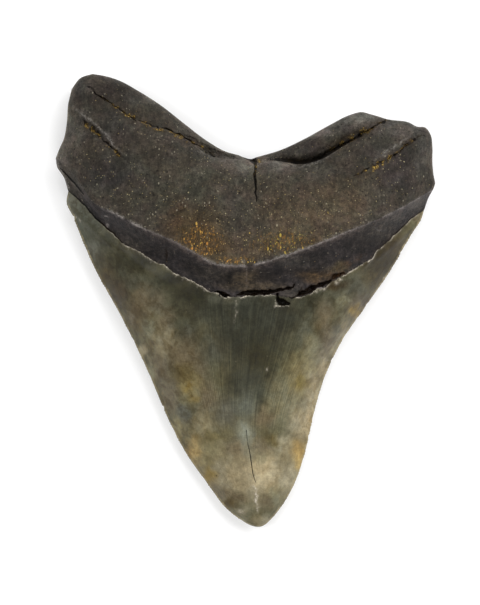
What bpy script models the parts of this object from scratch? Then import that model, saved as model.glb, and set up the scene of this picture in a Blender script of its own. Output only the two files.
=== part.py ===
"""A megalodon tooth that lies on its labial (outer) face, as one closed solid.

Metres, +Z up. Seen from above, the root is towards +Y and the crown's tip towards -Y, and the lingual
(inner) face is up. It carries the root's bulge, and the bourlette: the band between root and enamel.
The origin is on the surface that the tooth rests on, under the middle of the tooth's box.

The tooth is a loft. Guide lines run across it, from its left edge to its right edge, between bands:
basal margin, rim, groove lip, root, crest, bourlette, enamel line, crown, tip. A place on the tooth is
(across, along): across is 0 at the left edge and 1 at the right edge, and along counts the guide lines,
from 0 on the basal margin to 4 at the tip.
"""

import math

import bmesh
import bpy
import numpy as np
from mathutils import Vector, noise
from mathutils.bvhtree import BVHTree

MM = 0.001

# Heights above the surface that the tooth rests on, in millimetres. A profile is (place, size) pairs.
LOBE_HEIGHT = 13.0  # the lobes' lingual face
CROWN_HEIGHT = 21.0  # the enamel, where it meets the bourlette
ARCH_HEIGHT = 3.4  # how far the root's labial face stands clear between the lobes
EDGE_PROFILE = ((0, 7), (1, 6.8), (2, 5.6), (3, 4.8), (3.4, 3.7), (3.8, 3.1), (4, 3.4))  # along the outline
ROOT_PROFILE = ((0, 15.5), (0.25, 18.8), (0.6, 22.8), (0.85, 24.8), (1, 25))  # from the lip to the crest
LABIAL_PROFILE = ((0, 1.9), (0.2, 0.5), (0.3, -0.3), (0.8, -0.3), (0.9, 0.5), (1, 3.4))  # of the crown

# Other sizes, in millimetres.
LINGUAL_ROUNDING = 7.5  # how far in from the root's outline its faces are rounded
LABIAL_ROUNDING = 5.5
ENAMEL_STEP = 0.35
COVE_DEPTH = 0.5  # the bourlette's hollow between its crest and the enamel
RELIEF = 0.35  # the root's uneven surface
RELIEF_SIZE = 9.0
SERRATION_PITCH = 0.75
SERRATION_DEPTH = 0.2
SERRATIONS_END = 3.95  # along the tooth: the tip is worn smooth

# Beyond the lip the rim lies lower, as a shelf with a valley close to the lip. The depths are across it.
SHELF_DEPTHS = ((0.05, 0), (0.15, 0.5), (0.42, 1), (0.5, 0.6), (0.6, 1.6), (0.7, 2.6), (0.9, 2.2), (1, 0.6))
VALLEY_DEPTHS = ((0.05, 0), (0.3, 0.3), (0.43, 1.2), (0.5, 0.5), (0.64, 4), (0.8, 3.4), (0.95, 1), (1, 0))
VALLEY_WIDTH = 1.9

# The guide lines, from left to right, in millimetres. The labial face has its own below the basal margin.
BASAL_MARGIN = (
    (-38.2, 56.6), (-35.2, 56.1), (-31.2, 54.8), (-27.2, 52.6), (-21.2, 48.8), (-15.2, 44.1),
    (-9.2, 39.6), (-5.2, 37.3), (-1.2, 36.1), (0.8, 35.2), (2.8, 35.8), (8.8, 37.6), (14.8, 40.4),
    (20.8, 43.7), (26.4, 46.5), (28.8, 47.1), (31.4, 46.5), (35.3, 45.3),
)  # fmt: skip
GROOVE_LIP = (
    (-43.4, 52.8), (-38.7, 53.2), (-34.7, 50.0), (-30.3, 46.4), (-24.3, 43.6), (-19.5, 42.4),
    (-15.9, 40.6), (-7.9, 35.6), (-1.9, 35.0), (1.7, 34.6), (3.5, 34.1), (6.0, 34.8), (9.1, 34.5),
    (13.7, 33.8), (18.6, 35.0), (24.9, 38.7), (31.2, 42.0), (35.0, 44.9), (36.4, 45.1),
)  # fmt: skip
CREST_LINE = (
    (-47.4, 35.6), (-43.9, 32.4), (-40.7, 28.4), (-37.9, 24.4), (-32.3, 21.6), (-25.9, 18.2),
    (-17.9, 14.8), (-11.5, 11.2), (-8.3, 9.4), (-2.5, 8.7), (1.1, 8.8), (4.6, 9.6), (12.6, 12.1),
    (25.6, 17.3), (32.6, 20.1), (39.6, 23.6), (46.9, 27.8),
)  # fmt: skip
ENAMEL_LINE = (
    (-44.3, 27.3), (-41.9, 25.2), (-36.7, 20.0), (-31.9, 15.2), (-29.9, 13.8), (-20.3, 9.2),
    (-17.9, 7.2), (-11.9, 4.0), (-5.9, 1.2), (0.1, 1.2), (7.7, 1.5), (14.0, 0.9), (17.1, 1.7),
    (22.5, 5.5), (31.7, 10.9), (32.8, 12.8), (38.6, 17.4), (44.6, 22.5),
)  # fmt: skip
LABIAL_ARCH = (
    (-43.4, 52.8), (-30.0, 44.5), (-14.0, 33.0), (1.7, 27.5), (17.0, 31.5), (29.0, 39.5), (36.4, 45.1),
)  # fmt: skip
LABIAL_WAIST = (
    (-47.4, 35.6), (-30.0, 27.0), (-14.0, 20.5), (1.1, 18.5), (15.0, 19.5), (31.0, 23.5), (46.9, 27.8),
)  # fmt: skip
LABIAL_ENAMEL_LINE = (
    (-44.3, 27.3), (-34.0, 22.5), (-20.0, 15.5), (-8.0, 11.5), (0.1, 10.8), (9.0, 11.0), (21.0, 14.0),
    (34.0, 19.0), (44.6, 22.5),
)  # fmt: skip
MIDDLE_X = (0.8, 1.7, 1.1, 0.1)  # where each guide line is halfway across the tooth

# The outline's two sides, band by band from the basal margin to the tip, in millimetres.
LEFT_SIDE = (
    ((-38.2, 56.6), (-41.2, 55.6), (-43.4, 52.8)),
    ((-43.4, 52.8), (-44.3, 49.0), (-44.6, 44.8), (-45.4, 40.4), (-46.6, 37.7), (-47.4, 35.6)),
    ((-47.4, 35.6), (-47.1, 33.5), (-45.4, 30.8), (-44.3, 27.3)),
    (
        (-44.3, 27.3), (-44.7, 24.9), (-43.1, 21.0), (-37.6, 8.0), (-31.0, -4.0), (-25.1, -16.0),
        (-18.6, -31.0), (-15.5, -37.0), (-9.3, -46.0), (-4.7, -52.0), (-0.9, -55.0), (1.2, -56.2),
        (3.3, -56.6),
    ),
)  # fmt: skip
RIGHT_SIDE = (
    ((35.3, 45.3), (36.4, 45.1)),
    (
        (36.4, 45.1), (40.8, 44.5), (43.0, 43.4), (44.8, 43.3), (46.3, 41.3), (46.7, 38.5), (46.7, 34.5),
        (47.1, 30.8), (47.4, 29.3), (46.9, 27.8),
    ),
    ((46.9, 27.8), (45.6, 25.4), (44.9, 23.3), (44.6, 22.5)),
    (
        (44.6, 22.5), (44.0, 20.6), (41.7, 17.0), (36.5, 8.0), (30.3, -1.0), (24.1, -10.0),
        (19.8, -19.0), (17.1, -28.0), (15.1, -37.0), (12.1, -46.0), (8.6, -52.0), (6.1, -55.0),
        (4.7, -56.2), (3.3, -56.6),
    ),
)  # fmt: skip

# The mesh: columns across each face, and where its rows lie in each band.
COLUMNS = 36
EDGE_CROWDING = 0.78  # how much closer together the columns stand at the edges than in the middle
RIM_ROWS = (0.0, 0.05, 0.2, 0.45, 0.75, 0.95)
ROOT_ROWS = (0.0, 0.03, 0.09, 0.17, 0.26, 0.36, 0.46, 0.56, 0.66, 0.76, 0.86, 0.94)
BOURLETTE_ROWS = (0.0, 0.15, 0.5, 0.85)
CROWN_ROWS = 25
ENAMEL_STEP_ROW = 0.003  # of the crown's length, where the step has reached its full height

# Grooves, cracks and gaps. Each has how deep its middle line runs below the surface, in radii, and its
# path: the place (x, y) and the radius at each point, in millimetres.
CUTS = {
    "middle_crack": (
        0.2,
        ((1.9, 35.2, 0.9), (2.5, 33.6, 0.4), (2.2, 29.9, 0.35), (2.6, 26.5, 0.3), (2.7, 23.4, 0.2)),
    ),
    "right_hollow": (
        -0.25,
        (
            (9, 35.5, 0.5), (13.7, 34.9, 1.3), (18.6, 36.1, 1.6), (24.6, 39.4, 1.3), (30.6, 42.5, 0.9),
            (34.6, 45, 0.5),
        ),
    ),
    "left_groove": (
        0.2,
        (
            (-38.6, 53.2, 0.2), (-34.7, 50.1, 0.5), (-30.3, 46.5, 0.5), (-24.3, 43.8, 0.6),
            (-19.3, 42.6, 0.6), (-15.8, 40.9, 0.7), (-11.8, 38.2, 0.8), (-7.9, 36, 0.7), (-4, 35.4, 0.3),
        ),
    ),
    "left_fold": (
        0.5,
        ((-41, 45.4, 0.3), (-38, 42.6, 0.9), (-34.6, 39.2, 0.9), (-31.5, 36.4, 0.7), (-29.5, 35, 0.2)),
    ),
    "right_fold": (
        0.5,
        ((44, 41.2, 0.3), (40, 38.6, 0.9), (35.4, 35.4, 0.9), (31, 32.7, 0.7), (26, 30.5, 0.2)),
    ),
    "gap_left": (0.2, ((-7.9, 2.6, 0.2), (-6.2, 1.9, 0.4), (-4.6, 1.7, 0.4), (-3.2, 1.7, 0.2))),
    "gap_middle": (
        0.1,
        ((-2.6, 1.6, 0.3), (0.6, 1.9, 0.7), (4.5, 2.3, 0.6), (8.5, 3.2, 0.5), (12.3, 4, 0.2)),
    ),
    "gap_right": (
        0.1,
        ((12.4, 1.3, 0.4), (15.8, 2.6, 0.7), (19.2, 4.2, 0.6), (22.4, 6.4, 0.5), (25, 7.8, 0.2)),
    ),
    "enamel_chip": (0.2, ((8.4, 1.6, 0.8), (9.6, 0.2, 0.9))),
}  # fmt: skip
CUT_SIDES = 8

SHARP_ANGLE = math.radians(40)
MATERIALS = (  # name, colour, roughness
    ("root", (0.050, 0.043, 0.034, 1.0), 0.75),
    ("bourlette", (0.036, 0.030, 0.028, 1.0), 0.45),
    ("enamel", (0.145, 0.133, 0.088, 1.0), 0.35),
)
LIP, CREST, ENAMEL, TIP = range(1, 5)


def smoothstep(low, high, value):
    share = np.clip((value - low) / (high - low), 0, 1)
    return share * share * (3 - 2 * share)


class Line:
    """A smooth line through a few points, read at shares of its length."""

    def __init__(self, points, middle_x=None, steps=16):
        points = np.array(points, float)
        knots = np.append(0, np.cumsum(np.linalg.norm(np.diff(points, axis=0), axis=1)))
        slopes = np.gradient(points, knots, axis=0)
        fine = np.unique(np.concatenate([np.linspace(a, b, steps) for a, b in zip(knots, knots[1:])]))
        span = np.clip(np.searchsorted(knots, fine, side="right") - 1, 0, len(knots) - 2)
        length = (knots[span + 1] - knots[span])[:, None]
        t = (fine - knots[span])[:, None] / length
        self.points = (
            (1 + 2 * t) * (1 - t) ** 2 * points[span]
            + t * (1 - t) ** 2 * length * slopes[span]
            + t**2 * (3 - 2 * t) * points[span + 1]
            + t**2 * (t - 1) * length * slopes[span + 1]
        )
        self.shares = np.append(0, np.cumsum(np.linalg.norm(np.diff(self.points, axis=0), axis=1)))
        self.shares /= self.shares[-1]
        self.middle = 0.5
        if middle_x is not None:
            self.middle = np.interp(middle_x, self.points[:, 0], self.shares)

    def at(self, share):
        """The points at these shares, where 0.5 is the line's middle point."""
        share = np.interp(share, (0, 0.5, 1), (0, self.middle, 1))
        return np.column_stack([np.interp(share, self.shares, self.points[:, axis]) for axis in (0, 1)])


class Face:
    """One face of the tooth, seen from above: a Coons patch for each band between two guide lines."""

    def __init__(self, guides):
        self.guides = [Line(points, x) for points, x in zip(guides, MIDDLE_X)]
        self.left = [Line(points) for points in LEFT_SIDE]
        self.right = [Line(points) for points in RIGHT_SIDE]

    def places(self, across, along):
        """The (x, y) of these places, in millimetres."""
        found = np.empty((len(across), 2))
        bands = np.minimum(along.astype(int), TIP - 1)
        for band in range(TIP):
            here = bands == band
            if here.any():
                found[here] = self.patch(band, across[here], along[here] - band)
        return found

    def patch(self, band, u, t):
        left, right = self.left[band].at(t), self.right[band].at(t)
        left_ends, right_ends = self.left[band].points[[0, -1]], self.right[band].points[[0, -1]]
        guides = [guide.at(u) for guide in self.guides[band : band + 2]]
        u, t = u[:, None], t[:, None]
        places = (1 - u) * left + u * right
        for guide, start, end, share in zip(guides, left_ends, right_ends, (1 - t, t)):
            places = places + share * (guide - (1 - u) * start - u * end)
        return places


def distance_to(line, places):
    """How far each place is from a line of points."""
    start, step = line[:-1], np.diff(line, axis=0)
    offset = places[:, None] - start
    share = np.clip((offset * step).sum(2) / (step**2).sum(1), 0, 1)
    return np.linalg.norm(offset - share[..., None] * step, axis=2).min(1)


def root_outline():
    """The outline round the root, from the left nick where the enamel starts to the right one."""
    left = [Line(points).points[::-1] for points in LEFT_SIDE[ENAMEL - 1 :: -1]]
    right = [Line(points).points for points in RIGHT_SIDE[:ENAMEL]]
    return np.concatenate([*left, Line(BASAL_MARGIN).points, *right])[::4]


def rounded(distance, radius):
    """A quarter circle's height at this distance in from its foot, from 0 to 1."""
    return np.sqrt(1 - (1 - np.clip(distance / radius, 0, 1)) ** 2)


def relief(places):
    """Low uneven swells over the root."""
    return RELIEF * np.array([noise.noise(Vector((x, y, 0)) / RELIEF_SIZE) for x, y in places])


def edge_height(along):
    return np.interp(along, *np.transpose(EDGE_PROFILE))


def below_lip(across, along, places):
    """How far the rim lies below the groove's lip: it is a shelf with a valley along the lip."""
    shelf = np.interp(across, *np.transpose(SHELF_DEPTHS))
    valley = np.interp(across, *np.transpose(VALLEY_DEPTHS))
    from_lip = distance_to(Line(GROOVE_LIP).points[::4], places)
    drop = shelf + valley * np.exp(-((from_lip / VALLEY_WIDTH) ** 2))
    return np.where(along < LIP, drop * smoothstep(0, 0.05, LIP - along), 0)


def root_face(across, along):
    """The root's lingual face, before its rim is lowered and its outline is rounded."""
    side = np.abs(2 * across - 1)
    down = np.clip(along - LIP, 0, 1)
    middle = np.interp(down, *np.transpose(ROOT_PROFILE))
    lobe = LOBE_HEIGHT - 2 * down
    return lobe + (middle - lobe) * (1 - side**2.2) ** 1.25


def crown_face(across, along):
    """The crown's lingual face: a dome across the tooth that turns to a low ridge near the tip."""
    side = np.abs(2 * across - 1)
    down = np.clip(along - ENAMEL, 0, 1)
    rise = (CROWN_HEIGHT - edge_height(ENAMEL)) * (1 - down**1.5) ** 0.8
    ridge = 0.4 * smoothstep(0.4, 1, down)
    return edge_height(along) + rise * ((1 - ridge) * (1 - side**2) ** 1.12 + ridge * (1 - side))


def lingual_heights(across, along, places):
    """Heights of the upper face."""
    edge = edge_height(along)
    inwards = distance_to(root_outline(), places)
    root = root_face(across, along) + relief(places) - below_lip(across, along, places)
    root = edge + (root - edge) * rounded(inwards, LINGUAL_ROUNDING)
    crown = crown_face(across, along)
    step = ENAMEL_STEP * smoothstep(0, 0.12, np.minimum(across, 1 - across))
    over = np.clip(along - CREST, 0, 1)
    cove = COVE_DEPTH * np.sin(math.pi * over) * (1 - np.abs(2 * across - 1) ** 6)
    bourlette = root + (crown - step - root) * smoothstep(-0.25, 1, over) - cove
    return np.select([along <= CREST, along <= ENAMEL], [root, bourlette], crown)


def labial_heights(across, along, places):
    """Heights of the lower face, which rests on its lobes and on the middle of its crown."""
    side = np.abs(2 * across - 1)
    edge = edge_height(along)
    inwards = distance_to(root_outline(), places)
    arch = np.maximum(0, (ARCH_HEIGHT + 0.3) * np.exp(-((side / 0.5) ** 2)) - 0.3)
    root = edge - (edge - arch) * rounded(inwards, LABIAL_ROUNDING)
    down = np.clip(along - ENAMEL, 0, 1)
    middle = np.interp(down, *np.transpose(LABIAL_PROFILE))
    crown = np.maximum(0, middle + (edge - middle) * side**2.3)
    share = smoothstep(CREST, ENAMEL, along)
    return root + (crown - root) * share


def rows():
    """Where the mesh's rows lie along the tooth, up to but without the tip."""
    crown = [ENAMEL, ENAMEL + ENAMEL_STEP_ROW, *(ENAMEL + np.arange(1, CROWN_ROWS) / CROWN_ROWS)]
    return np.array([*RIM_ROWS, *np.add(ROOT_ROWS, LIP), *np.add(BOURLETTE_ROWS, CREST), *crown])


def columns():
    """Where the mesh's columns lie across the tooth."""
    even = np.linspace(0, 1, COLUMNS + 1)
    return even - EDGE_CROWDING * np.sin(2 * math.pi * even) / (2 * math.pi)


def face_points(guides, heights):
    """The grid of one face, as rows of points in millimetres."""
    across, along = (grid.ravel() for grid in np.meshgrid(columns(), rows()))
    places = Face(guides).places(across, along)
    points = np.column_stack([places, heights(across, along, places)])
    return points.reshape(len(rows()), COLUMNS + 1, 3)


def outline_piece(solid, start, end, side, along):
    """The outline's points from one row to the next: beside the enamel, every other one stands out."""
    if not ENAMEL + ENAMEL_STEP_ROW <= along < SERRATIONS_END:
        return [start, end]
    teeth = max(1, round((end.co - start.co).length / SERRATION_PITCH))
    step = (end.co - start.co) / (2 * teeth)
    outwards = side * Vector((-step.y, step.x, 0)).normalized() * SERRATION_DEPTH
    between = [start.co + step * k + outwards * (k % 2) for k in range(1, 2 * teeth)]
    return [start, *(solid.verts.new(point) for point in between), end]


def add_face(solid, corners, slot, turn):
    """A face of these corners, left out where they have closed up to a line, as at the tip."""
    corners = list(dict.fromkeys(corners))
    if len(corners) > 2:
        solid.faces.new(corners[::turn]).material_index = slot


def fan(solid, rim, near, far, slot, turn):
    """Triangles from a piece of the outline to the two points inside it, the first near its start."""
    half = len(rim) if far in rim else (len(rim) - 1) // 2
    for k, (a, b) in enumerate(zip(rim, rim[1:])):
        add_face(solid, (a, b, near if k < half else far), slot, turn)
    if half < len(rim):
        add_face(solid, (rim[half], far, near), slot, turn)


def skin(solid, grid, rims, turn):
    """Faces over one face's grid. Its outermost columns reach the outline's pieces, left and right."""
    for along, (left, right), upper, lower in zip(rows(), rims, grid, grid[1:]):
        slot = 0 if along < CREST else 1 if along < ENAMEL else 2
        fan(solid, left, upper[1], lower[1], slot, turn)
        for k in range(1, COLUMNS - 1):
            add_face(solid, (upper[k], lower[k], lower[k + 1], upper[k + 1]), slot, turn)
        fan(solid, right, upper[-2], lower[-2], slot, -turn)


def loft():
    """The tooth's two faces, sewn together at the outline, in millimetres."""
    lingual = face_points((BASAL_MARGIN, GROOVE_LIP, CREST_LINE, ENAMEL_LINE), lingual_heights)
    labial = face_points((BASAL_MARGIN, LABIAL_ARCH, LABIAL_WAIST, LABIAL_ENAMEL_LINE), labial_heights)
    solid = bmesh.new()
    tip = solid.verts.new((*LEFT_SIDE[-1][-1], edge_height(TIP)))
    top = [[solid.verts.new(point) for point in row] for row in lingual]
    under = [top[0]]
    for row, shared in zip(labial[1:], top[1:]):
        under.append([shared[0], *(solid.verts.new(point) for point in row[1:-1]), shared[-1]])
    for grid in (top, under):
        grid.append([tip] * (COLUMNS + 1))
    rims = []
    for along, upper, lower in zip(rows(), top, top[1:]):
        left = outline_piece(solid, upper[0], lower[0], -1, along)
        rims.append((left, outline_piece(solid, upper[-1], lower[-1], 1, along)))
    skin(solid, top, rims, 1)
    skin(solid, under, rims, -1)
    bmesh.ops.triangulate(solid, faces=solid.faces[:])
    return solid


def drape(path, sink, surface):
    """A cut's path laid on the lingual face, as points and radii in millimetres."""
    laid = []
    for x, y, radius in path:
        height = surface.ray_cast(Vector((x, y, 100)), Vector((0, 0, -1)))[0].z
        laid.append((Vector((x, y, height - sink * radius)), radius))
    return laid


def tube(path):
    """A rod with a round section that follows a path of points and radii."""
    shape = bmesh.new()
    rings = []
    for k, (point, radius) in enumerate(path):
        ahead = path[min(k + 1, len(path) - 1)][0] - path[max(k - 1, 0)][0]
        turn = ahead.to_track_quat("Z", "Y")
        angles = [2 * math.pi * n / CUT_SIDES for n in range(CUT_SIDES)]
        ring = [turn @ Vector((math.cos(angle), math.sin(angle), 0)) * radius for angle in angles]
        rings.append([shape.verts.new(point + offset) for offset in ring])
    for a, b in zip(rings, rings[1:]):
        for k in range(CUT_SIDES):
            shape.faces.new((a[k - 1], a[k], b[k], b[k - 1]))
    shape.faces.new(rings[0])
    shape.faces.new(rings[-1])
    bmesh.ops.recalc_face_normals(shape, faces=shape.faces[:])
    return shape


def new_object(name, shape, collection):
    """An object of a bmesh that is in millimetres."""
    bmesh.ops.scale(shape, vec=(MM, MM, MM), verts=shape.verts[:])
    mesh = bpy.data.meshes.new(name)
    shape.to_mesh(mesh)
    shape.free()
    obj = bpy.data.objects.new(name, mesh)
    collection.objects.link(obj)
    return obj


def new_collection(name):
    collection = bpy.data.collections.new(name)
    bpy.context.scene.collection.children.link(collection)
    return collection


def add_materials(mesh):
    for name, colour, roughness in MATERIALS:
        material = bpy.data.materials.new(name)
        material.use_nodes = True
        shader = material.node_tree.nodes["Principled BSDF"]
        shader.inputs["Base Color"].default_value = colour
        shader.inputs["Roughness"].default_value = roughness
        mesh.materials.append(material)


def add_cuts(surface, collection):
    """The cutters of the grooves, cracks and gaps."""
    for name, (sink, path) in CUTS.items():
        cutter = new_object(name, tube(drape(path, sink, surface)), collection)
        cutter.hide_render = True
        cutter.display_type = "WIRE"


def main():
    for obj in list(bpy.data.objects):
        bpy.data.objects.remove(obj)
    tooth_parts = new_collection("megalodon_tooth")
    cutters = new_collection("cutters")
    solid = loft()
    add_cuts(BVHTree.FromBMesh(solid), cutters)
    tooth = new_object("tooth", solid, tooth_parts)
    add_materials(tooth.data)
    tooth.data.shade_smooth()
    tooth.data.set_sharp_from_angle(angle=SHARP_ANGLE)
    cut = tooth.modifiers.new("cuts", "BOOLEAN")
    cut.operation = "DIFFERENCE"
    cut.solver = "EXACT"
    cut.operand_type = "COLLECTION"
    cut.collection = cutters


main()
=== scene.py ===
"""The looks of the megalodon tooth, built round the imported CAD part.

Lengths are in millimetres unless said, and become metres where the mesh is made. The tooth is the same loft
as in the CAD part: guide lines run across it from left to right, and a place on it is (across, along).
Across is 0 at the left edge and 1 at the right one, and along counts the guide lines, from 0 on the basal
margin to 4 at the tip. Here the loft is cut into small triangles, finer near cracks and edges, and gets its
fine relief.
"""

import math

import bpy
import numpy as np
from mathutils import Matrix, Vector, noise


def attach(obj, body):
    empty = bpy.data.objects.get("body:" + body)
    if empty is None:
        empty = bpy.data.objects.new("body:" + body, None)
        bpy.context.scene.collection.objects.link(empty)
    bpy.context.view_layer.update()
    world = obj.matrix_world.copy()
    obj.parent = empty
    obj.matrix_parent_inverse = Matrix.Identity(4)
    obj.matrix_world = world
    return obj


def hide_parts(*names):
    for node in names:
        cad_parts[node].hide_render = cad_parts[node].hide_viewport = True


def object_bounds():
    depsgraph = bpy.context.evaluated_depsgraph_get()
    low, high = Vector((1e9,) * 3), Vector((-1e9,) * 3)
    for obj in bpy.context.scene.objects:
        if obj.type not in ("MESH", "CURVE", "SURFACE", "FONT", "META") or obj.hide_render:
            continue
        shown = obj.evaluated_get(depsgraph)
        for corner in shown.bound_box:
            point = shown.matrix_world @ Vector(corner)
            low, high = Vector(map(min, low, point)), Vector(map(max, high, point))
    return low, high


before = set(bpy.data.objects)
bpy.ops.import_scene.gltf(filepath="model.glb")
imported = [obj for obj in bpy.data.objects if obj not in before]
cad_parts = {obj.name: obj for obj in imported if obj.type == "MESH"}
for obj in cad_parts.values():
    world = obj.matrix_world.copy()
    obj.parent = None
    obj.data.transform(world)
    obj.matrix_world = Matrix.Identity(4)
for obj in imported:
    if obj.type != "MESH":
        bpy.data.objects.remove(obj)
cad_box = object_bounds()

MM = 0.001

# ---- Shape: as in the CAD part, but for small changes to the enamel line and the valley under the lip ------

LOBE_HEIGHT = 13.0
CROWN_HEIGHT = 21.0
ARCH_HEIGHT = 3.4
EDGE_PROFILE = ((0, 7), (1, 6.8), (2, 5.6), (3, 4.8), (3.4, 3.7), (3.8, 3.1), (4, 3.4))
ROOT_PROFILE = ((0, 15.5), (0.25, 18.8), (0.6, 22.8), (0.85, 24.8), (1, 25))
LABIAL_PROFILE = ((0, 1.9), (0.2, 0.5), (0.3, -0.3), (0.8, -0.3), (0.9, 0.5), (1, 3.4))
LINGUAL_ROUNDING = 7.5
LABIAL_ROUNDING = 5.5
ENAMEL_STEP = 0.35
COVE_DEPTH = 0.5
RELIEF = 0.35
RELIEF_SIZE = 9.0
SERRATION_PITCH = 0.75
SERRATION_DEPTH = 0.2
SERRATIONS_END = 3.95
SHELF_DEPTHS = ((0.05, 0), (0.15, 0.5), (0.42, 1), (0.5, 0.6), (0.6, 1.6), (0.7, 2.6), (0.9, 2.2), (1, 0.6))
VALLEY_DEPTHS = (
    (0.05, 0), (0.3, 0.3), (0.43, 1.2), (0.5, 0.7), (0.55, 2.4), (0.64, 4), (0.8, 3.4), (0.95, 1), (1, 0),
)  # fmt: skip
VALLEY_DEEPEST = max(depth for _, depth in VALLEY_DEPTHS)
VALLEY_WIDTH = 1.9

BASAL_MARGIN = (
    (-38.2, 56.6), (-35.2, 56.1), (-31.2, 54.8), (-27.2, 52.6), (-21.2, 48.8), (-15.2, 44.1), (-9.2, 39.6),
    (-5.2, 37.3), (-1.2, 36.1), (0.8, 35.2), (2.8, 35.8), (8.8, 37.6), (14.8, 40.4), (20.8, 43.7),
    (26.4, 46.5), (28.8, 47.1), (31.4, 46.5), (35.3, 45.3),
)  # fmt: skip
GROOVE_LIP = (
    (-43.4, 52.8), (-38.7, 53.2), (-34.7, 50), (-30.3, 46.4), (-24.3, 43.6), (-19.5, 42.4), (-15.9, 40.6),
    (-7.9, 35.6), (-1.9, 35), (1.7, 34.6), (3.5, 34.1), (6, 34.8), (9.1, 34.5), (13.7, 33.8), (18.6, 35),
    (24.9, 38.7), (31.2, 42), (35, 44.9), (36.4, 45.1),
)  # fmt: skip
CREST_LINE = (
    (-47.4, 35.6), (-43.9, 32.4), (-40.7, 28.4), (-37.9, 24.4), (-32.3, 21.6), (-25.9, 18.2), (-17.9, 14.8),
    (-11.5, 11.2), (-8.3, 9.4), (-2.5, 8.7), (1.1, 8.8), (4.6, 9.6), (12.6, 12.1), (25.6, 17.3),
    (32.6, 20.1), (39.6, 23.6), (46.9, 27.8),
)  # fmt: skip
ENAMEL_LINE = (
    (-44.3, 27.3), (-36.7, 20), (-28.5, 13.3), (-19.8, 8), (-11.9, 4.1), (-5.9, 1.9), (0.1, 1.1), (7, 1),
    (14, 2), (22, 5.4), (30, 10.3), (37.6, 16.3), (44.6, 22.5),
)  # fmt: skip
LABIAL_ARCH = (
    (-43.4, 52.8), (-30, 44.5), (-14, 33), (1.7, 27.5), (17, 31.5), (29, 39.5), (36.4, 45.1),
)  # fmt: skip
LABIAL_WAIST = (
    (-47.4, 35.6), (-30, 27), (-14, 20.5), (1.1, 18.5), (15, 19.5), (31, 23.5), (46.9, 27.8),
)  # fmt: skip
LABIAL_ENAMEL_LINE = (
    (-44.3, 27.3), (-34, 22.5), (-20, 15.5), (-8, 11.5), (0.1, 10.8), (9, 11), (21, 14),
    (34, 19), (44.6, 22.5),
)  # fmt: skip
MIDDLE_X = (0.8, 1.7, 1.1, 0.1)
LEFT_SIDE = (
    ((-38.2, 56.6), (-41.2, 55.6), (-43.4, 52.8)),
    ((-43.4, 52.8), (-44.3, 49), (-44.6, 44.8), (-45.4, 40.4), (-46.6, 37.7), (-47.4, 35.6)),
    ((-47.4, 35.6), (-47.1, 33.5), (-45.4, 30.8), (-44.3, 27.3)),
    (
        (-44.3, 27.3), (-44.7, 24.9), (-43.1, 21), (-37.6, 8), (-31, -4), (-25.1, -16),
        (-18.6, -31), (-15.5, -37), (-9.3, -46), (-4.7, -52), (-0.9, -55), (1.2, -56.2),
        (3.3, -56.6),
    ),
)  # fmt: skip
RIGHT_SIDE = (
    ((35.3, 45.3), (36.4, 45.1)),
    (
        (36.4, 45.1), (40.8, 44.5), (43, 43.4), (44.8, 43.3), (46.3, 41.3), (46.7, 38.5), (46.7, 34.5),
        (47.1, 30.8), (47.4, 29.3), (46.9, 27.8),
    ),
    ((46.9, 27.8), (45.6, 25.4), (44.9, 23.3), (44.6, 22.5)),
    (
        (44.6, 22.5), (44, 20.6), (41.7, 17), (36.5, 8), (30.3, -1), (24.1, -10),
        (19.8, -19), (17.1, -28), (15.1, -37), (12.1, -46), (8.6, -52), (6.1, -55),
        (4.7, -56.2), (3.3, -56.6),
    ),
)  # fmt: skip
LIP, CREST, ENAMEL, TIP = range(1, 5)

# ---- Fine shapes -------------------------------------------------------------------------------------------

# Where the enamel really ends on the lingual face, with its small steps.
BROKEN_LINE = (
    (-44.3, 27.3), (-41.9, 25.2), (-36.5, 19.6), (-33.2, 16.8), (-30.5, 14.2), (-26.6, 12.3), (-23.2, 10),
    (-19.4, 8.3), (-18.1, 7.1), (-16.2, 6.2), (-12, 4.2), (-9.4, 2.6), (-7.4, 1.9), (-5, 1), (-2.4, 0.8),
    (1.1, 1.2), (4.6, 1.3), (7.7, 1.3), (10.5, 0.6), (13, 0.8), (14.8, 1.2), (16.4, 1.9), (17.6, 2.8),
    (19.6, 3.2), (20.9, 4.3), (22.4, 5.1), (24.2, 6.2), (26.3, 7.4), (29.1, 9.1), (31.4, 10.5),
    (32.6, 12.2), (35.4, 14.6), (37.9, 16.9), (40.3, 19.3), (42.6, 21.2), (44.6, 22.5),
)  # fmt: skip
BREAK_FADE = 1.5  # how far from the line its steps reach
JAG = 0.32  # how far the broken edge wanders besides
CROWN_LENGTH = 55  # from the enamel line to the tip
CROWN_TO_BAND = 7  # how many times as long the crown is as the bourlette

# Noises: the size of the largest lumps, the octaves, and the layer that makes each one different.
JAG_NOISE = (1.4, 3, 90)
ROOT_LUMPS = (2.6, 4, 3)
ROOT_SWELLS = (8, 2, 7)
ENAMEL_SWELLS = (9, 2, 5)
RIBS = (5, 3, 9)
DIRT_AND_SHADE_PATCHES = (1.6, 2, 33)
WEAR = (1.1, 3, 36)
BREAKS = (1.9, 3, 31)
OCHRE_GRAINS = (1.3, 3, 40)
LABIAL_LUMPS = (2.6, 3, 50)
LABIAL_SWELLS = (9, 2, 52)

# How high the relief stands.
LUMP_HEIGHT = 0.15
SWELL_HEIGHT = 0.25
ENAMEL_SWELL_HEIGHT = 0.07
LABIAL_LUMP_HEIGHT = 0.08
LABIAL_SWELL_HEIGHT = 0.05
CREST_HEIGHT = 0.3
ENAMEL_RIM_HEIGHT = 0.12
WEAR_AND_HIGHLIGHT_HEIGHT = 0.25  # a ridge this high is painted quite pale on top, partly as wear and partly as painted highlight
LABIAL_RIM_HEIGHT = 0.3

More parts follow.
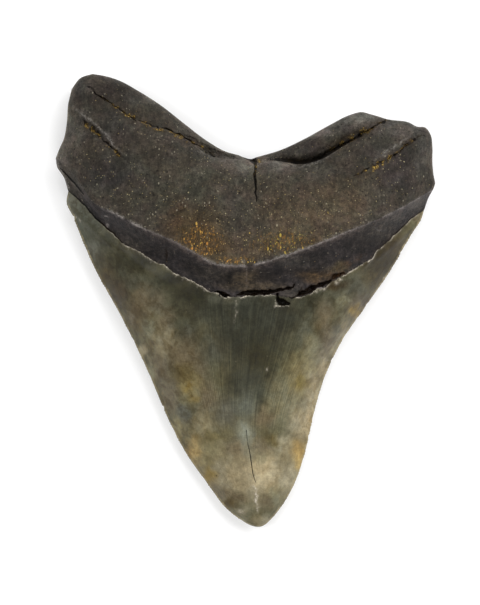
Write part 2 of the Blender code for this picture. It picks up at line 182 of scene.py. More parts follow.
# How wide it is to each side, in millimetres.
CREST_WIDTH = 0.8
CREST_LIGHT_WIDTH = (0.18, 0.26)  # the crest's pale line, partly painted highlight, where it is whole, and what wear adds to it
ENAMEL_RIM_WIDTH = 0.4
ENAMEL_LIGHT_WIDTH = 0.24
CREASE_WIDTH = 0.45
RIM_LIGHT_WIDTH = 0.45  # the painted highlight along the cutting edges
LABIAL_RIM_WIDTH = 1.5
LABIAL_CREASE_WIDTH = 0.5
SHOULDER_WIDTH = 2.2  # the pitted shoulder
SERRATION_REACH = 0.4  # how far in from the cutting edge the serrations and the chips can be seen
CHIP_REACH = 0.7
RELIEF_FADE = (0.3, 2.5)  # how far in from the root's outline the relief begins and is whole

# Cracks, grooves and gaps of the lingual face: (x, y, half width, depth) at each point of the path.
TRENCHES = {
    "middle_crack": (
        (1.7, 35.4, 1, 1.4), (2.3, 34.5, 0.7, 1.4), (2.5, 33.4, 0.36, 1.1), (2.3, 31.2, 0.32, 1),
        (2.5, 29, 0.3, 0.9), (2.5, 27.2, 0.2, 0.6), (2.7, 24.4, 0.12, 0.25),
    ),
    "left_groove": (
        (-39.6, 53.4, 0.2, 0.2), (-38.7, 52.9, 0.25, 0.4), (-37.1, 51.5, 0.28, 0.8), (-34.8, 49.7, 0.3, 0.9),
        (-33.1, 48.8, 0.2, 0.6), (-31.4, 47.3, 0.28, 0.7), (-29.9, 46.4, 0.22, 0.5), (-28.4, 45.6, 0.25, 0.5),
        (-25.5, 44.5, 0.2, 0.4), (-23, 43.3, 0.2, 0.4), (-21.2, 42.9, 0.3, 0.8), (-19.5, 42.5, 0.42, 1.2),
        (-17.4, 41.6, 0.35, 1.1), (-15.9, 40.9, 0.22, 0.8), (-13.2, 39.2, 0.35, 1), (-10.4, 37.4, 0.3, 0.7),
        (-7.8, 35.9, 0.2, 0.4),
    ),
    "left_recess": (
        (-16, 41.6, 0.5, 0.4), (-13, 40, 0.9, 0.9), (-9, 37.4, 1, 1.1), (-5, 36.1, 0.8, 0.9),
        (-2.2, 35.4, 0.4, 0.3),
    ),
    "left_fold": (
        (-40.6, 45.3, 0.2, 0.2), (-39.5, 44, 0.5, 0.6), (-37.5, 42.3, 0.5, 0.8), (-35.1, 39.7, 0.4, 0.6),
        (-33.3, 38.1, 0.35, 0.7), (-31.5, 36.3, 0.4, 0.6), (-30.2, 35.4, 0.2, 0.15),
    ),
    "right_fold": (
        (44.5, 41.1, 0.2, 0.5), (42.4, 40.4, 0.3, 0.8), (39.6, 38.3, 0.35, 1), (37.1, 36.2, 0.35, 0.9),
        (34.7, 34.6, 0.35, 0.5), (32.6, 33.8, 0.3, 0.3), (29.1, 32, 0.3, 0.25), (26.5, 30.6, 0.2, 0.1),
    ),
    "right_groove": (
        (18.5, 35.4, 0.3, 0.3), (21, 37.2, 0.5, 0.9), (23.8, 38.5, 0.45, 0.9), (26, 39.7, 0.3, 0.7),
        (28.8, 41.5, 0.45, 1), (31.5, 42.9, 0.35, 0.8), (34.6, 44.6, 0.25, 0.6), (36.4, 45.2, 0.15, 0.3),
    ),
    "gap_left": ((-7.6, 2.2, 0.2, 0.7), (-6.4, 1.7, 0.5, 1.6), (-4.9, 1.3, 0.5, 1.5), (-3.9, 1.1, 0.2, 0.6)),
    "gap_middle": (
        (-2.2, 1.5, 0.15, 0.6), (-0.4, 1.7, 0.45, 1.4), (1.4, 1.9, 0.7, 2), (3.6, 2.05, 0.65, 2),
        (5.4, 2.1, 0.55, 1.8), (7.4, 2.4, 0.5, 1.6), (9.4, 2.8, 0.4, 1.4), (10.9, 3.1, 0.34, 1.3),
        (12.2, 3.7, 0.25, 0.8),
    ),
    "gap_right": (
        (12.9, 1.3, 0.3, 1), (13.7, 1.7, 0.65, 1.7), (14.9, 2.1, 0.5, 1.4), (16.2, 2.7, 0.75, 1.8),
        (17.4, 3.6, 0.4, 1.2), (18.6, 4, 0.55, 1.5), (19.9, 4.4, 0.5, 1.4), (21, 4.9, 0.25, 0.8),
    ),
    "gap_end": ((21.4, 5.3, 0.3, 0.7), (22.2, 6.1, 0.5, 1.1), (23.4, 6.4, 0.55, 1.1), (24.6, 6.9, 0.2, 0.5)),
    "enamel_hole": (
        (7.9, 1.2, 0.5, 1.1), (8.2, 0.4, 0.7, 1.4), (8.7, -0.3, 0.85, 1.6), (9.5, -0.5, 0.8, 1.5),
        (10.4, -0.7, 0.4, 1), (10.9, -0.7, 0.2, 0.6),
    ),
    "plate_edge": ((13.6, 2.9, 0.15, 0.2), (13.5, 1.9, 0.3, 0.6), (12.7, 1, 0.25, 0.4), (11, 0.5, 0.2, 0.3)),
    "crown_crack": (
        (0.2, -32.2, 0.08, 0.08), (0.5, -35.2, 0.1, 0.2), (1.2, -38.5, 0.12, 0.25), (1.8, -43, 0.12, 0.25),
        (2.5, -45.3, 0.1, 0.12),
    ),
    "left_crease": (
        (-46.3, 33.2, 0.12, 0.15), (-45.2, 31.9, 0.28, 0.4), (-43.6, 30.4, 0.3, 0.45),
        (-41.9, 28.6, 0.3, 0.4),
        (-40.4, 26.4, 0.2, 0.2),
    ),
    "bourlette_mark": ((-19.6, 13, 0.2, 0.05), (-19.5, 11.5, 0.35, 0.15), (-19.6, 9.7, 0.2, 0.05)),
}  # fmt: skip
TRENCH_WARP = 0.45  # how far the trenches' sides wander, over about a millimetre
# These cracks run straighter: how far their sides wander.
STRAIGHT = {"crown_crack": 0, "middle_crack": 0.22, "left_crease": 0.2, "bourlette_mark": 0.2}
# These lie deep or are narrow, so the mesh is finest there.
SHARP = ("middle_crack", "gap_left", "gap_middle", "gap_right", "gap_end", "enamel_hole", "crown_crack")

# Pits and specks: (x, y, radius, depth), where a negative depth stands up and is pale.
SPOTS = (
    (-1.4, 26.8, 0.3, 0.3), (-7.3, -43.9, 0.25, 0.1), (-3.7, -46.4, 0.2, 0.08), (3.9, -27.6, 0.2, 0.1),
    (5.4, -17, 0.22, -0.06), (-34.4, 18.7, 0.3, -0.12), (-34.7, 21, 0.25, -0.1), (18.6, 3, 0.55, -0.3),
    (17.6, 2.4, 0.35, -0.25), (19.4, 2.9, 0.4, -0.25), (22.6, 4.6, 0.5, -0.3), (23.5, 5.2, 0.3, -0.2),
    (12.9, 1.2, 0.2, -0.1), (-1, -52.7, 0.5, -0.04), (34.6, 5.6, 0.25, -0.06), (-41.3, 20, 0.25, -0.06),
    (-42.4, 20.6, 0.2, -0.06), (-38.6, 9.4, 0.3, 0.1), (18, 33, 0.2, -0.05), (-0.6, 9.6, 0.35, -0.1),
)  # fmt: skip

# Small flakes broken from the cutting edges: how far along the edge from the enamel line, half width, depth.
LEFT_CHIPS = ((6.9, 0.45, 0.3), (26, 0.4, 0.12), (41, 0.5, 0.12), (59.5, 0.4, 0.25))
RIGHT_CHIPS = ((12, 0.4, 0.15), (27.5, 0.4, 0.12), (44, 0.4, 0.15), (64, 0.4, 0.2))

# How dark the dirt and painted shade in a trench is. Elsewhere it is patchy.
BLACKNESS = {
    "middle_crack": 0.95, "gap_left": 1, "gap_middle": 1, "gap_right": 1, "gap_end": 0.9, "enamel_hole": 1,
    "crown_crack": 0.8, "left_recess": 0.45, "left_crease": 0.9, "bourlette_mark": 0.6, "plate_edge": 0.8,
}  # fmt: skip
RIB_HEIGHT = 0.25  # of the ribs above the right lip

UNDERCUT = (0.5, -1.1)  # how far the hollow on the right reaches in under the lip
PITTED_SHOULDER = (46, 29.5)
HOLLOW_START = 0.53  # where the lip's hollow and its ribs begin, across
RIBS_START = 0.52
LIP_DEPTH = 0.05  # how far behind the lip its hollow reaches, along
# A trench's floor and its side, and its dirt and painted shade, begin and end at these shares of its half
# width.
TRENCH_SIDE = (0.1, 1.15)
DIRT_AND_SHADE_SIDE = (0.5, 1.5)
SPOT_STRENGTH = 0.8
VALLEY_DIRT_AND_SHADE = 0.85
LABIAL_DIRT = 0.6

# Low ridges: (x, y, half width, height).
RIDGES = {
    "left_fold": (
        (-43.2, 48.4, 0.3, 0.12), (-41.5, 47.2, 0.35, 0.24), (-38.7, 44.9, 0.32, 0.3),
        (-36.3, 42.8, 0.3, 0.3),
        (-33.9, 40.4, 0.25, 0.24), (-32.7, 38.6, 0.25, 0.2), (-30.7, 36.6, 0.2, 0.1),
    ),
    "right_fold": (
        (31.6, 34.9, 0.3, 0.06), (33.6, 36, 0.4, 0.16), (36, 37.6, 0.35, 0.2), (38.4, 39.3, 0.3, 0.2),
        (41, 40.8, 0.25, 0.08),
    ),
    "left_shoulder": (
        (-46.9, 35.4, 0.6, 0.2), (-46.9, 33.8, 0.6, 0.4), (-46.1, 32, 0.5, 0.45), (-45, 29.9, 0.5, 0.45),
        (-44.1, 28, 0.45, 0.35),
    ),
    "left_lip": (
        (-12.8, 37.7, 0.4, 0.04), (-9.5, 36.1, 0.5, 0.14), (-6.5, 34.9, 0.5, 0.14), (-3, 34.7, 0.4, 0.05),
    ),
    "right_lip": (
        (4.5, 34, 0.4, 0.08), (7.5, 34.4, 0.35, 0.14), (10.5, 33.6, 0.3, 0.14), (14, 33.1, 0.35, 0.16),
        (18.5, 34.5, 0.3, 0.14), (22.5, 37.2, 0.25, 0.08),
    ),
    "hole_rim": (
        (7.2, 0.2, 0.14, 0.08), (7.6, -1.3, 0.18, 0.22), (8.8, -1.5, 0.16, 0.2), (10.6, -1.2, 0.12, 0.1),
    ),
    "tip": (
        (2.2, -45.6, 0.15, 0.08), (2.5, -47, 0.25, 0.3), (2.7, -49.2, 0.35, 0.42), (2.9, -51.2, 0.3, 0.3),
        (3.1, -53, 0.2, 0.08),
    ),
    "crown_streak": ((-2.1, 0.3, 0.15, 0.06), (-2.4, -2.6, 0.16, 0.1), (-2.7, -5.8, 0.12, 0.03)),
    "bourlette_streak": ((0.3, 8, 0.2, 0.05), (0.3, 5.3, 0.25, 0.08), (0.4, 3.4, 0.2, 0.04)),
    "right_scratch": ((31.5, 18.1, 0.15, 0.02), (33, 17.8, 0.2, 0.1), (34.8, 17.4, 0.15, 0.02)),
    "end_scratch": ((32, 21.3, 0.15, 0.03), (35.8, 22, 0.25, 0.12), (39.9, 23.1, 0.15, 0.05)),
    "edge_scratch": ((18.9, -13.7, 0.15, 0.04), (20, -14.6, 0.22, 0.12), (21, -15.3, 0.15, 0.04)),
}  # fmt: skip
# How strongly the enamel's broken edge shows pale, which is partly painted highlight, and the bourlette's
# foot dark with painted shade, at each x.
ENAMEL_EDGE_LIGHT = (
    (-44, 0.1), (-37, 0.2), (-32, 0.6), (-28, 1), (-16, 0.9), (-8, 1), (-3, 1.3), (5, 1.1), (7.2, 0.8),
    (8, 0), (11.5, 0), (12.3, 0.8), (16, 0.5), (23, 0.5), (26, 1.2), (31, 1.3), (33, 0.9), (38, 0.6),
    (43, 0.5), (44.5, 0.2),
)  # fmt: skip
# How pale the crest's line is at each x: partly wear, partly painted highlight.
CREST_LIGHT = (
    (-36, 0.2), (-34, 0.8), (-30.5, 1.4), (-26, 1.3), (-24, 0.6), (-18, 0.4), (-12, 0.8), (-6, 1.2),
    (0, 1.2), (5, 1.3), (12, 1.2), (20, 1.3), (24, 1), (28, 0.5), (33, 0.5), (38, 0.8), (44, 0.4),
)  # fmt: skip
# How mauve the band under the crest is, at each x, and the band's width.
CREST_MAUVE = (
    (-35, 0), (-31, 0.2), (-26, 0.3), (-21, 0.9), (-12, 1), (-6, 0.8), (0, 0.7), (6, 0.5), (14, 0.5),
    (20, 0.9), (26, 1), (30, 0.4), (38, 0.6), (44, 0.3),
)  # fmt: skip
MAUVE_WIDTH = 1.2
# How dark the crease at the bourlette's foot is painted at each x: painted shade where the root overhangs the
# enamel.
ENAMEL_CREASE = (
    (-44, 0.7), (-42, 1), (-36, 0.95), (-32, 0.8), (-29, 0.45), (-20, 0.4), (30, 0.35), (36, 0.5), (44, 0.6),
)  # fmt: skip
BAND_START = (-36, 0.1, 0.2)  # the x, and the shares across, where the bourlette comes out of the root

# Yellow and orange clay that has stayed in the grooves: (x, y, half width, strength).
OCHRE = (
    (
        (-37, 51.4, 0.4, 0.3), (-34.7, 49.9, 0.5, 0.8), (-32.3, 48.1, 0.6, 1), (-29, 46, 0.7, 1),
        (-27.5, 45, 0.8, 0.8), (-24.3, 43.7, 1, 0.9), (-21.5, 42.8, 0.9, 0.8), (-19.3, 42, 0.6, 0.6),
        (-17, 41, 0.7, 1), (-15.6, 40.3, 0.6, 0.8), (-12.5, 38.8, 0.8, 0.7), (-9.5, 37.4, 0.8, 0.5),
        (-7, 36, 0.5, 0.2),
    ),
    ((-40.4, 44.6, 0.4, 0.3), (-39.2, 43.4, 0.6, 0.9), (-37.2, 41.8, 0.6, 0.9), (-35, 39.5, 0.5, 0.5)),
    ((-34.9, 39.4, 0.4, 0.4), (-33.4, 38.1, 0.6, 1), (-32.2, 36.8, 0.5, 0.8), (-30.6, 35.4, 0.4, 0.3)),
    (
        (24, 29.5, 0.4, 0.3), (29.3, 31.9, 0.8, 0.6), (32.4, 33.4, 1.2, 0.9), (34.4, 34.5, 0.9, 1),
        (37, 36.4, 0.5, 0.7), (41, 39.6, 0.4, 0.6), (43.6, 41, 0.3, 0.3),
    ),
    (
        (10, 35.2, 0.6, 0.3), (15, 34.9, 0.5, 0.5), (19, 36.4, 0.5, 0.5), (24, 39.3, 0.9, 0.8),
        (28.3, 41.5, 1, 0.9), (31.5, 43.1, 0.9, 0.9), (35, 44.8, 0.5, 0.5),
    ),
    ((0.6, 35, 0.8, 0.5), (3.4, 34.6, 1, 0.7), (5.6, 35.2, 0.6, 0.3)),
    ((2.6, 33.8, 0.35, 0.8), (2.5, 32, 0.3, 0.6), (2.3, 30.6, 0.2, 0.4)),
    ((0.3, 7.2, 0.3, 0.15), (0.3, 5.3, 0.35, 0.4), (0.4, 3.6, 0.3, 0.3)),
    ((21.9, 5.7, 0.5, 0.3), (23, 6.4, 0.6, 0.8), (24.2, 6.8, 0.5, 0.5)),
    ((20, 6.2, 0.5, 0.1), (25, 9, 0.8, 0.35), (30, 11.6, 0.5, 0.1)),
)  # fmt: skip

# Where the root's flecks lie thickly: (x, y, half width, half height, strength).
FLECKS = (
    (-11, 14.8, 8, 5.6, 1), (-2.5, 9.8, 8, 2.2, 0.85), (-14, 20, 13, 7, 0.42), (-28, 26, 8, 8, 0.36),
    (-37, 33, 6, 7, 0.26), (10, 14.5, 14, 4.5, 0.84), (15, 21, 16, 6, 0.46), (27, 22, 8, 5, 0.45),
    (34, 30, 9, 9, 0.26), (0, 30, 20, 7, 0.14), (-30, 44, 12, 8, 0.1),
)  # fmt: skip
LABIAL_FLECKS = 0.15
YELLOW_FROM = (-6, 6)  # the x over which the flecks turn from orange to yellow

# ---- Colours -----------------------------------------------------------------------------------------------

# The stains' colours as they look in this light, in sRGB.
PALETTE = {
    "coal": (44, 40, 37), "ink": (54, 50, 50), "bark": (60, 56, 48), "olive": (67, 65, 53),
    "taupe": (71, 66, 60), "ash": (86, 82, 77), "highlight_pewter": (112, 108, 103), "mauve": (94, 84, 80),
    "night": (53, 52, 42), "pitch": (60, 58, 46), "smoke": (66, 66, 56), "fern": (74, 73, 59),
    "umber": (79, 70, 50), "moss": (84, 83, 71), "bronze": (92, 80, 56), "slate": (94, 95, 83),
    "drab": (98, 94, 73), "dove": (101, 100, 89), "khaki": (104, 94, 66), "fawn": (110, 101, 82),
    "mist": (125, 121, 98), "stone": (129, 131, 117), "olivine": (122, 109, 66), "brass": (139, 118, 66),
    "tan": (135, 126, 94), "putty": (140, 132, 108), "sand": (155, 145, 119), "honey": (172, 148, 98),
    "cream": (174, 160, 129), "graphite": (60, 60, 52), "cocoa": (72, 63, 49), "clay": (82, 66, 46),
    "loam": (84, 74, 60), "dust": (100, 94, 87), "soot": (70, 65, 58),
}  # fmt: skip
# The colours that the materials add, as they look in this light.
PAINTS = {
    "pore": (22, 19, 16), "salt": (176, 168, 146), "clay_stain": (98, 80, 40), "crumb": (160, 116, 56),
    "orange": (230, 158, 76), "gold": (224, 192, 96), "yellow": (206, 184, 84), "straw": (198, 168, 96),
    "bone": (204, 192, 154), "apricot": (226, 172, 78), "lemon": (204, 184, 84),
    "root_wear_and_highlight": (166, 160, 152), "root_dirt_and_shade": (17, 13, 9), "ochre_stain": (74, 58, 30),
    "ochre": (150, 112, 44), "light_ochre": (220, 186, 96), "scratch": (122, 114, 108),
    "crest_wear_and_highlight": (206, 195, 188), "brown_speck": (128, 104, 70), "grey_speck": (150, 144, 134),
    "brown_dirt_and_shade": (50, 34, 22), "bourlette_dirt_and_shade": (32, 21, 12), "bourlette_clay": (134, 96, 56),
    "dark_speck": (48, 42, 30), "pale_speck": (150, 140, 112), "rim": (206, 192, 152),
    "enamel_wear_and_highlight": (244, 232, 210), "enamel_dirt_and_shade": (22, 17, 12),
}  # fmt: skip
# These make the colours above the surface's own.
DARKNESS = 0.52
ROOT_DARKNESS = 0.6
ENAMEL_VEIL = 0.015  # the light that the satin enamel mirrors, which its own colour leaves out
ENAMEL_DARKNESS = 0.77
DARKEST = 0.006
# How the stains' sides wander, in three sizes: (size, amount, noise layer).
STAIN_WARPS = ((9, 0.9, 60), (2.5, 0.9, 63), (0.9, 0.4, 65))
# Each stain is x, y, half width, half height, strength and colour, and each lies over the ones before it.
ROOT_GROUND = "soot"
ROOT_STAINS = (
    (-46, 44, 3, 10, 0.8, "moss"), (-34, 51, 9, 4, 0.8, "coal"), (-28, 46.5, 8, 4, 0.7, "bark"),
    (-33, 42, 6, 4, 0.5, "ink"), (-39, 36, 5, 7, 0.7, "bark"), (-32, 31, 7, 5, 0.8, "ink"),
    (-22, 33, 8, 4, 0.4, "olive"), (-28, 24.5, 7, 5, 0.7, "bark"), (-15, 26, 8, 5, 0.5, "olive"),
    (-13, 19, 8, 5, 0.8, "clay"), (-9, 13, 7, 4, 0.7, "clay"), (0, 11.5, 7, 2, 0.8, "loam"),
    (1, 34, 10, 2, 0.9, "dust"), (-10, 32, 8, 4, 0.4, "olive"), (5, 29, 7, 4, 0.5, "olive"),
    (13, 22, 12, 6, 0.9, "loam"), (23, 25, 8, 6, 0.9, "loam"), (12, 15, 12, 3.5, 0.9, "loam"),
    (31, 28.5, 5, 4, 0.4, "loam"), (16, 34.5, 5, 1.5, 0.6, "bark"), (26, 34, 5, 3, 0.5, "bark"),
    # The pale ash and pewter stains along the right lobe's top edge are partly its own colour and partly a
    # painted highlight on the rim.
    (40, 42.5, 7, 2.5, 0.9, "ash"), (44.5, 38, 2.5, 5, 0.6, "ash"), (34, 39.5, 4, 2, 0.5, "bark"),
    (22, 43.8, 12, 2.6, 0.8, "ash"), (28, 46.3, 6, 1.8, 0.9, "highlight_pewter"), (16, 42, 6, 1.5, 0.6, "highlight_pewter"),
    (46, 30, 2, 2.5, 0.6, "bark"), (-46, 34.5, 2, 2.5, 0.8, "dust"), (-41, 54, 3, 2, 0.6, "ash"),
    (-24, 50.5, 6, 1.5, 0.6, "ash"), (38, 32, 5, 5, 0.7, "ink"), (30, 37.5, 6, 2, 0.5, "ink"),
    (-45, 41, 4.5, 8, 0.5, "dust"), (-28, 38, 5.5, 5, 0.6, "bark"), (-30, 26, 8, 3, 0.6, "bark"),
    (24, 38.3, 3.5, 2.2, 0.6, "loam"), (-13.5, 34, 4, 2, 0.5, "bark"), (34, 26, 4, 3, 0.5, "bark"),
    (16, 38, 2.2, 2, 0.5, "ink"), (8, 34, 2.5, 1.5, 0.5, "dust"),
)  # fmt: skip
BOURLETTE_GROUND = "ink"
BOURLETTE_STAINS = (
    (-44, 31, 7, 6, 1, "taupe"), (-28, 14.2, 3.5, 1.3, 0.8, "taupe"), (-8, 6.6, 5, 2, 0.8, "taupe"),
    (0, 6.2, 4, 2.2, 1, "loam"), (-22, 12.5, 3, 2.5, 0.5, "coal"), (-13.5, 8, 3, 2, 0.5, "coal"),
    (-3.8, 5.6, 0.8, 2.2, 0.9, "coal"), (5.5, 6, 3, 2, 0.8, "coal"), (12, 9.8, 4, 1.4, 0.8, "ash"),
    (11, 7, 3.5, 1.6, 0.6, "coal"), (16.5, 10.4, 5, 2, 0.6, "coal"), (28, 14, 5, 2.6, 0.6, "coal"),
    (17.5, 6, 4.5, 1.7, 1, "clay"), (23, 8.2, 3, 1.2, 0.8, "umber"), (2, 3.4, 8, 1.3, 0.9, "loam"),
    (33, 18, 5, 3, 0.8, "taupe"), (37, 20.5, 3, 2, 0.6, "ash"), (42, 24.6, 3.5, 2.4, 0.9, "ash"),
    (11.3, 2, 2.2, 1.5, 0.8, "taupe"), (-31, 16.5, 5, 1.6, 0.3, "taupe"),
)  # fmt: skip
ENAMEL_GROUND = "drab"
ENAMEL_STAINS = (
    # the upper left
    (-40, 18, 8, 11, 1, "slate"), (-43.8, 23.5, 2.5, 3.5, 1, "dove"), (-38.5, 17, 2.2, 2.6, 0.8, "fern"),
    (-37.4, 12, 2.8, 2.6, 1, "dove"), (-31.5, 9, 6, 7, 1, "fern"), (-34.5, 15, 2.6, 1.8, 0.9, "smoke"),
    (-35, 6, 2, 4, 1, "umber"), (-31.8, 1.5, 2.6, 5, 1, "cocoa"), (-25.5, 9.8, 5, 3, 1, "night"),
    (-27.5, 4.5, 3, 2.5, 1, "moss"), (-26.8, -3, 3.4, 5, 1, "bronze"), (-25, 0.8, 3.4, 3, 1, "fawn"),
    (-28.6, -4.8, 0.8, 1.6, 0.8, "fawn"), (-22.3, -1.8, 3.2, 4.2, 1, "fawn"),
    (-22.5, -7, 3, 4.4, 1, "mist"), (-23.3, -11.4, 1, 1.5, 0.9, "bronze"), (-20, -6, 2.4, 3.5, 1, "fawn"),
    (-19.8, -10.6, 2.9, 4.2, 1, "putty"), (-25.6, -13.2, 1.2, 1.8, 0.8, "sand"),
    # the dark middle
    (-1, -1, 18, 6, 1, "graphite"), (-11.5, 1.5, 8, 3.5, 1, "night"), (-18, 5, 4, 2.6, 1, "night"),
    (-6, 0.2, 3.5, 1.4, 0.9, "moss"), (-1, -0.2, 2.5, 1.4, 0.8, "moss"), (-15.8, -5, 2.6, 4, 0.9, "fern"),
    (1, -9, 12, 9, 1, "graphite"), (-15, -9, 2.6, 3.5, 0.9, "moss"), (3.5, -14, 5.5, 7, 1, "pitch"),
    (8, -13.5, 2.6, 3.5, 0.7, "fern"), (-9.5, -13.5, 3.8, 4.5, 1, "moss"), (-15.5, -14, 3.8, 5, 1, "fawn"),
    (-1.5, -21, 4.5, 5, 1, "smoke"), (-7.5, -19.5, 2.6, 4.5, 0.9, "drab"), (-12, -18, 2.5, 3, 0.8, "fawn"),
    # the right
    (17, -0.5, 5, 4.5, 0.9, "smoke"), (10, -5, 4.4, 4.6, 1, "graphite"), (15.4, -8.4, 2, 4.6, 0.8, "slate"),
    (20, -4, 2.6, 4, 1, "fawn"), (25.5, 3, 5, 4.5, 1, "moss"), (22, 4, 3.4, 1.6, 1, "cocoa"),
    (22.7, -5.5, 2, 3, 0.8, "drab"), (28, -1.8, 2.8, 3.4, 1, "fawn"), (27.3, -2.8, 1.3, 1.6, 0.9, "brass"),
    (24.6, -7.8, 1.9, 2.6, 1, "putty"), (22.7, -6.6, 1, 1.4, 0.9, "moss"),
    (28.7, 4.2, 1.8, 1.6, 0.8, "moss"), (30.6, -0.3, 1.2, 2.2, 1, "cocoa"),
    (24.6, 0.2, 1.8, 1.8, 0.8, "mist"), (34.8, 10.8, 6, 6.5, 1, "cocoa"), (33.5, 9.8, 4.5, 4, 0.5, "night"),
    (31.5, 5, 2.4, 2.2, 0.7, "umber"), (41, 18, 3.5, 3.5, 1, "drab"), (43.6, 20.3, 1.8, 2.2, 1, "fawn"),
    (20.5, -9.8, 2.4, 3.6, 1, "fawn"), (16.4, -12, 2.4, 3, 1, "mist"), (14.8, -16.5, 3.6, 3, 1, "tan"),
    (19.9, -16.6, 2, 3.2, 1, "sand"), (10, -17.5, 2.6, 3.6, 0.9, "drab"), (23, -12, 1.4, 2, 0.9, "putty"),
    # the left flank
    (-20.8, -17, 2.6, 3.6, 1, "fawn"), (-23.4, -18, 1.2, 2.4, 0.9, "mist"),
    (-20.3, -18, 1.1, 1.5, 0.8, "bronze"), (-16, -19, 2.6, 3.4, 1, "khaki"),
    (-19, -24, 2.8, 4.5, 1, "fawn"), (-13.5, -22, 2.8, 3.8, 1, "tan"),
    (-14.3, -21.6, 1.2, 1.4, 0.7, "brass"), (-12.2, -24.3, 1.2, 1.3, 0.7, "brass"),
    (-9.6, -24.5, 2.6, 4.8, 1, "fawn"), (-15.2, -28.6, 2.3, 2.6, 1, "dove"),
    (-14.4, -28.3, 1.2, 1.1, 0.8, "moss"), (-17.2, -32, 1.8, 3.2, 1, "tan"),
    (-10, -31, 3.2, 3.2, 1, "putty"),
    # down the middle
    (-5, -28, 3, 4, 1, "dove"), (0.2, -26.5, 3, 3.5, 1, "slate"), (3.6, -22, 1.8, 4.8, 1, "smoke"),
    (8.8, -23.4, 3.2, 4, 1, "mist"), (0.2, -33.6, 2.6, 3.4, 1, "stone"), (5.2, -29, 2.5, 2.8, 1, "fawn"),
    (7.2, -27, 2, 2.4, 0.6, "mist"), (-8, -34, 3, 1.8, 1, "khaki"), (-8.5, -37.6, 3.6, 2.6, 1, "tan"),
    (-3.2, -36.6, 3, 2.2, 1, "fawn"), (4.2, -36.6, 2.6, 2, 1, "fawn"),
    # the right flank
    (13.2, -20.6, 3, 3.6, 1, "tan"), (13.6, -20.6, 1.8, 2, 1, "olivine"), (17, -23, 2.4, 5, 1, "sand"),
    (11.2, -27.5, 3.2, 3.4, 1, "mist"), (14.6, -31, 3.4, 5.5, 1, "sand"),
    (16.6, -30, 1.4, 4.5, 0.9, "cream"), (9.8, -36.6, 2.6, 3, 1, "putty"),
    (6.8, -34.4, 1.8, 1.6, 1, "khaki"), (13.4, -39.5, 2.4, 4, 1, "honey"),
    # the tip
    (-0.5, -44, 12, 6.5, 1, "sand"), (-12.8, -37.4, 2, 3.4, 1, "honey"),
    (-10.6, -40.5, 1.8, 2.4, 0.9, "tan"), (-9.4, -44, 1.8, 2.6, 1, "brass"),
    (13.4, -39, 1.9, 3.4, 0.9, "honey"), (5, -43.4, 4, 4.2, 1, "cream"), (10.6, -45, 2.2, 4, 1, "sand"),
    (-5.8, -48, 3, 1.7, 1, "fawn"), (-1.4, -49.2, 2.2, 1.2, 1, "fawn"),
    (-4.2, -50.8, 2.2, 1.2, 1, "bronze"), (-0.8, -52.4, 2.2, 0.9, 1, "putty"),
    (5.8, -50.4, 1.8, 1.9, 0.9, "fawn"), (8.4, -49, 1.8, 2.6, 0.9, "mist"), (0, -54.3, 2.4, 1.1, 1, "mist"),
    (4.2, -54.6, 2.2, 1.6, 1, "putty"),
    # faint washes over all of them
    (-22.6, 5, 2.4, 3.6, 0.6, "graphite"), (39.2, 15.6, 2.4, 3.6, 0.5, "cocoa"),
    (28.2, 0.2, 1.6, 1.8, 0.4, "cocoa"), (6.8, -22.6, 2, 2.8, 0.3, "graphite"),
    (-1.5, -44.5, 3.2, 2.4, 0.5, "sand"), (3.8, -39, 1.8, 1.8, 0.4, "tan"),
    (-44, 24, 1.6, 1.8, 0.3, "stone"), (-29, 8, 2, 2.4, 0.4, "moss"), (-20, -12, 2, 2, 0.3, "putty"),
    (-10.5, -32.5, 6, 4, 0.3, "tan"),
)  # fmt: skip
LABIAL_STAINS = (
    (-20, 6, 14, 9, 0.8, "fern"), (16, 4, 14, 8, 0.9, "umber"), (-6, -12, 12, 9, 0.7, "mist"),
    (8, -22, 8, 10, 0.8, "moss"), (-8, -30, 7, 8, 0.8, "khaki"), (3, -44, 9, 9, 0.9, "tan"),
    (30, 12, 7, 6, 0.7, "khaki"), (-34, 15, 7, 6, 0.8, "smoke"), (4, -4, 9, 6, 0.8, "smoke"),
)  # fmt: skip

# ---- Camera, light and floor -------------------------------------------------------------------------------

CAMERA_HEIGHT = 1500.0
OUTLINE_HEIGHT = 5.0
VIEW_WIDTH = 120.0
VIEW_MIDDLE = (-1.37, -0.48)
SENSOR_WIDTH = 36
CLIP_END = 20  # metres, as are the floor's lengths
FLOOR_HALF = 3.0
FLOOR_GAP = 0.0001  # how far it lies under the tooth
FLOOR_GREYS = (0.74, 0.78)
# Each lamp's name, place in metres, size in metres and power in watts.
LIGHTS = (
    ("key", (0.6, 0.3, 0.54), 0.75, 7.6),
    ("top", (0.1, 0.6, 0.75), 0.5, 2.9),
    ("left", (-0.7, 0.1, 0.75), 0.6, 6.2),
    ("bottom", (0.1, -0.6, 0.75), 0.5, 2.6),
)
WORLD_STRENGTH = 0.12
FLOOR_GLOW = 0.25

# ---- Mesh --------------------------------------------------------------------------------------------------

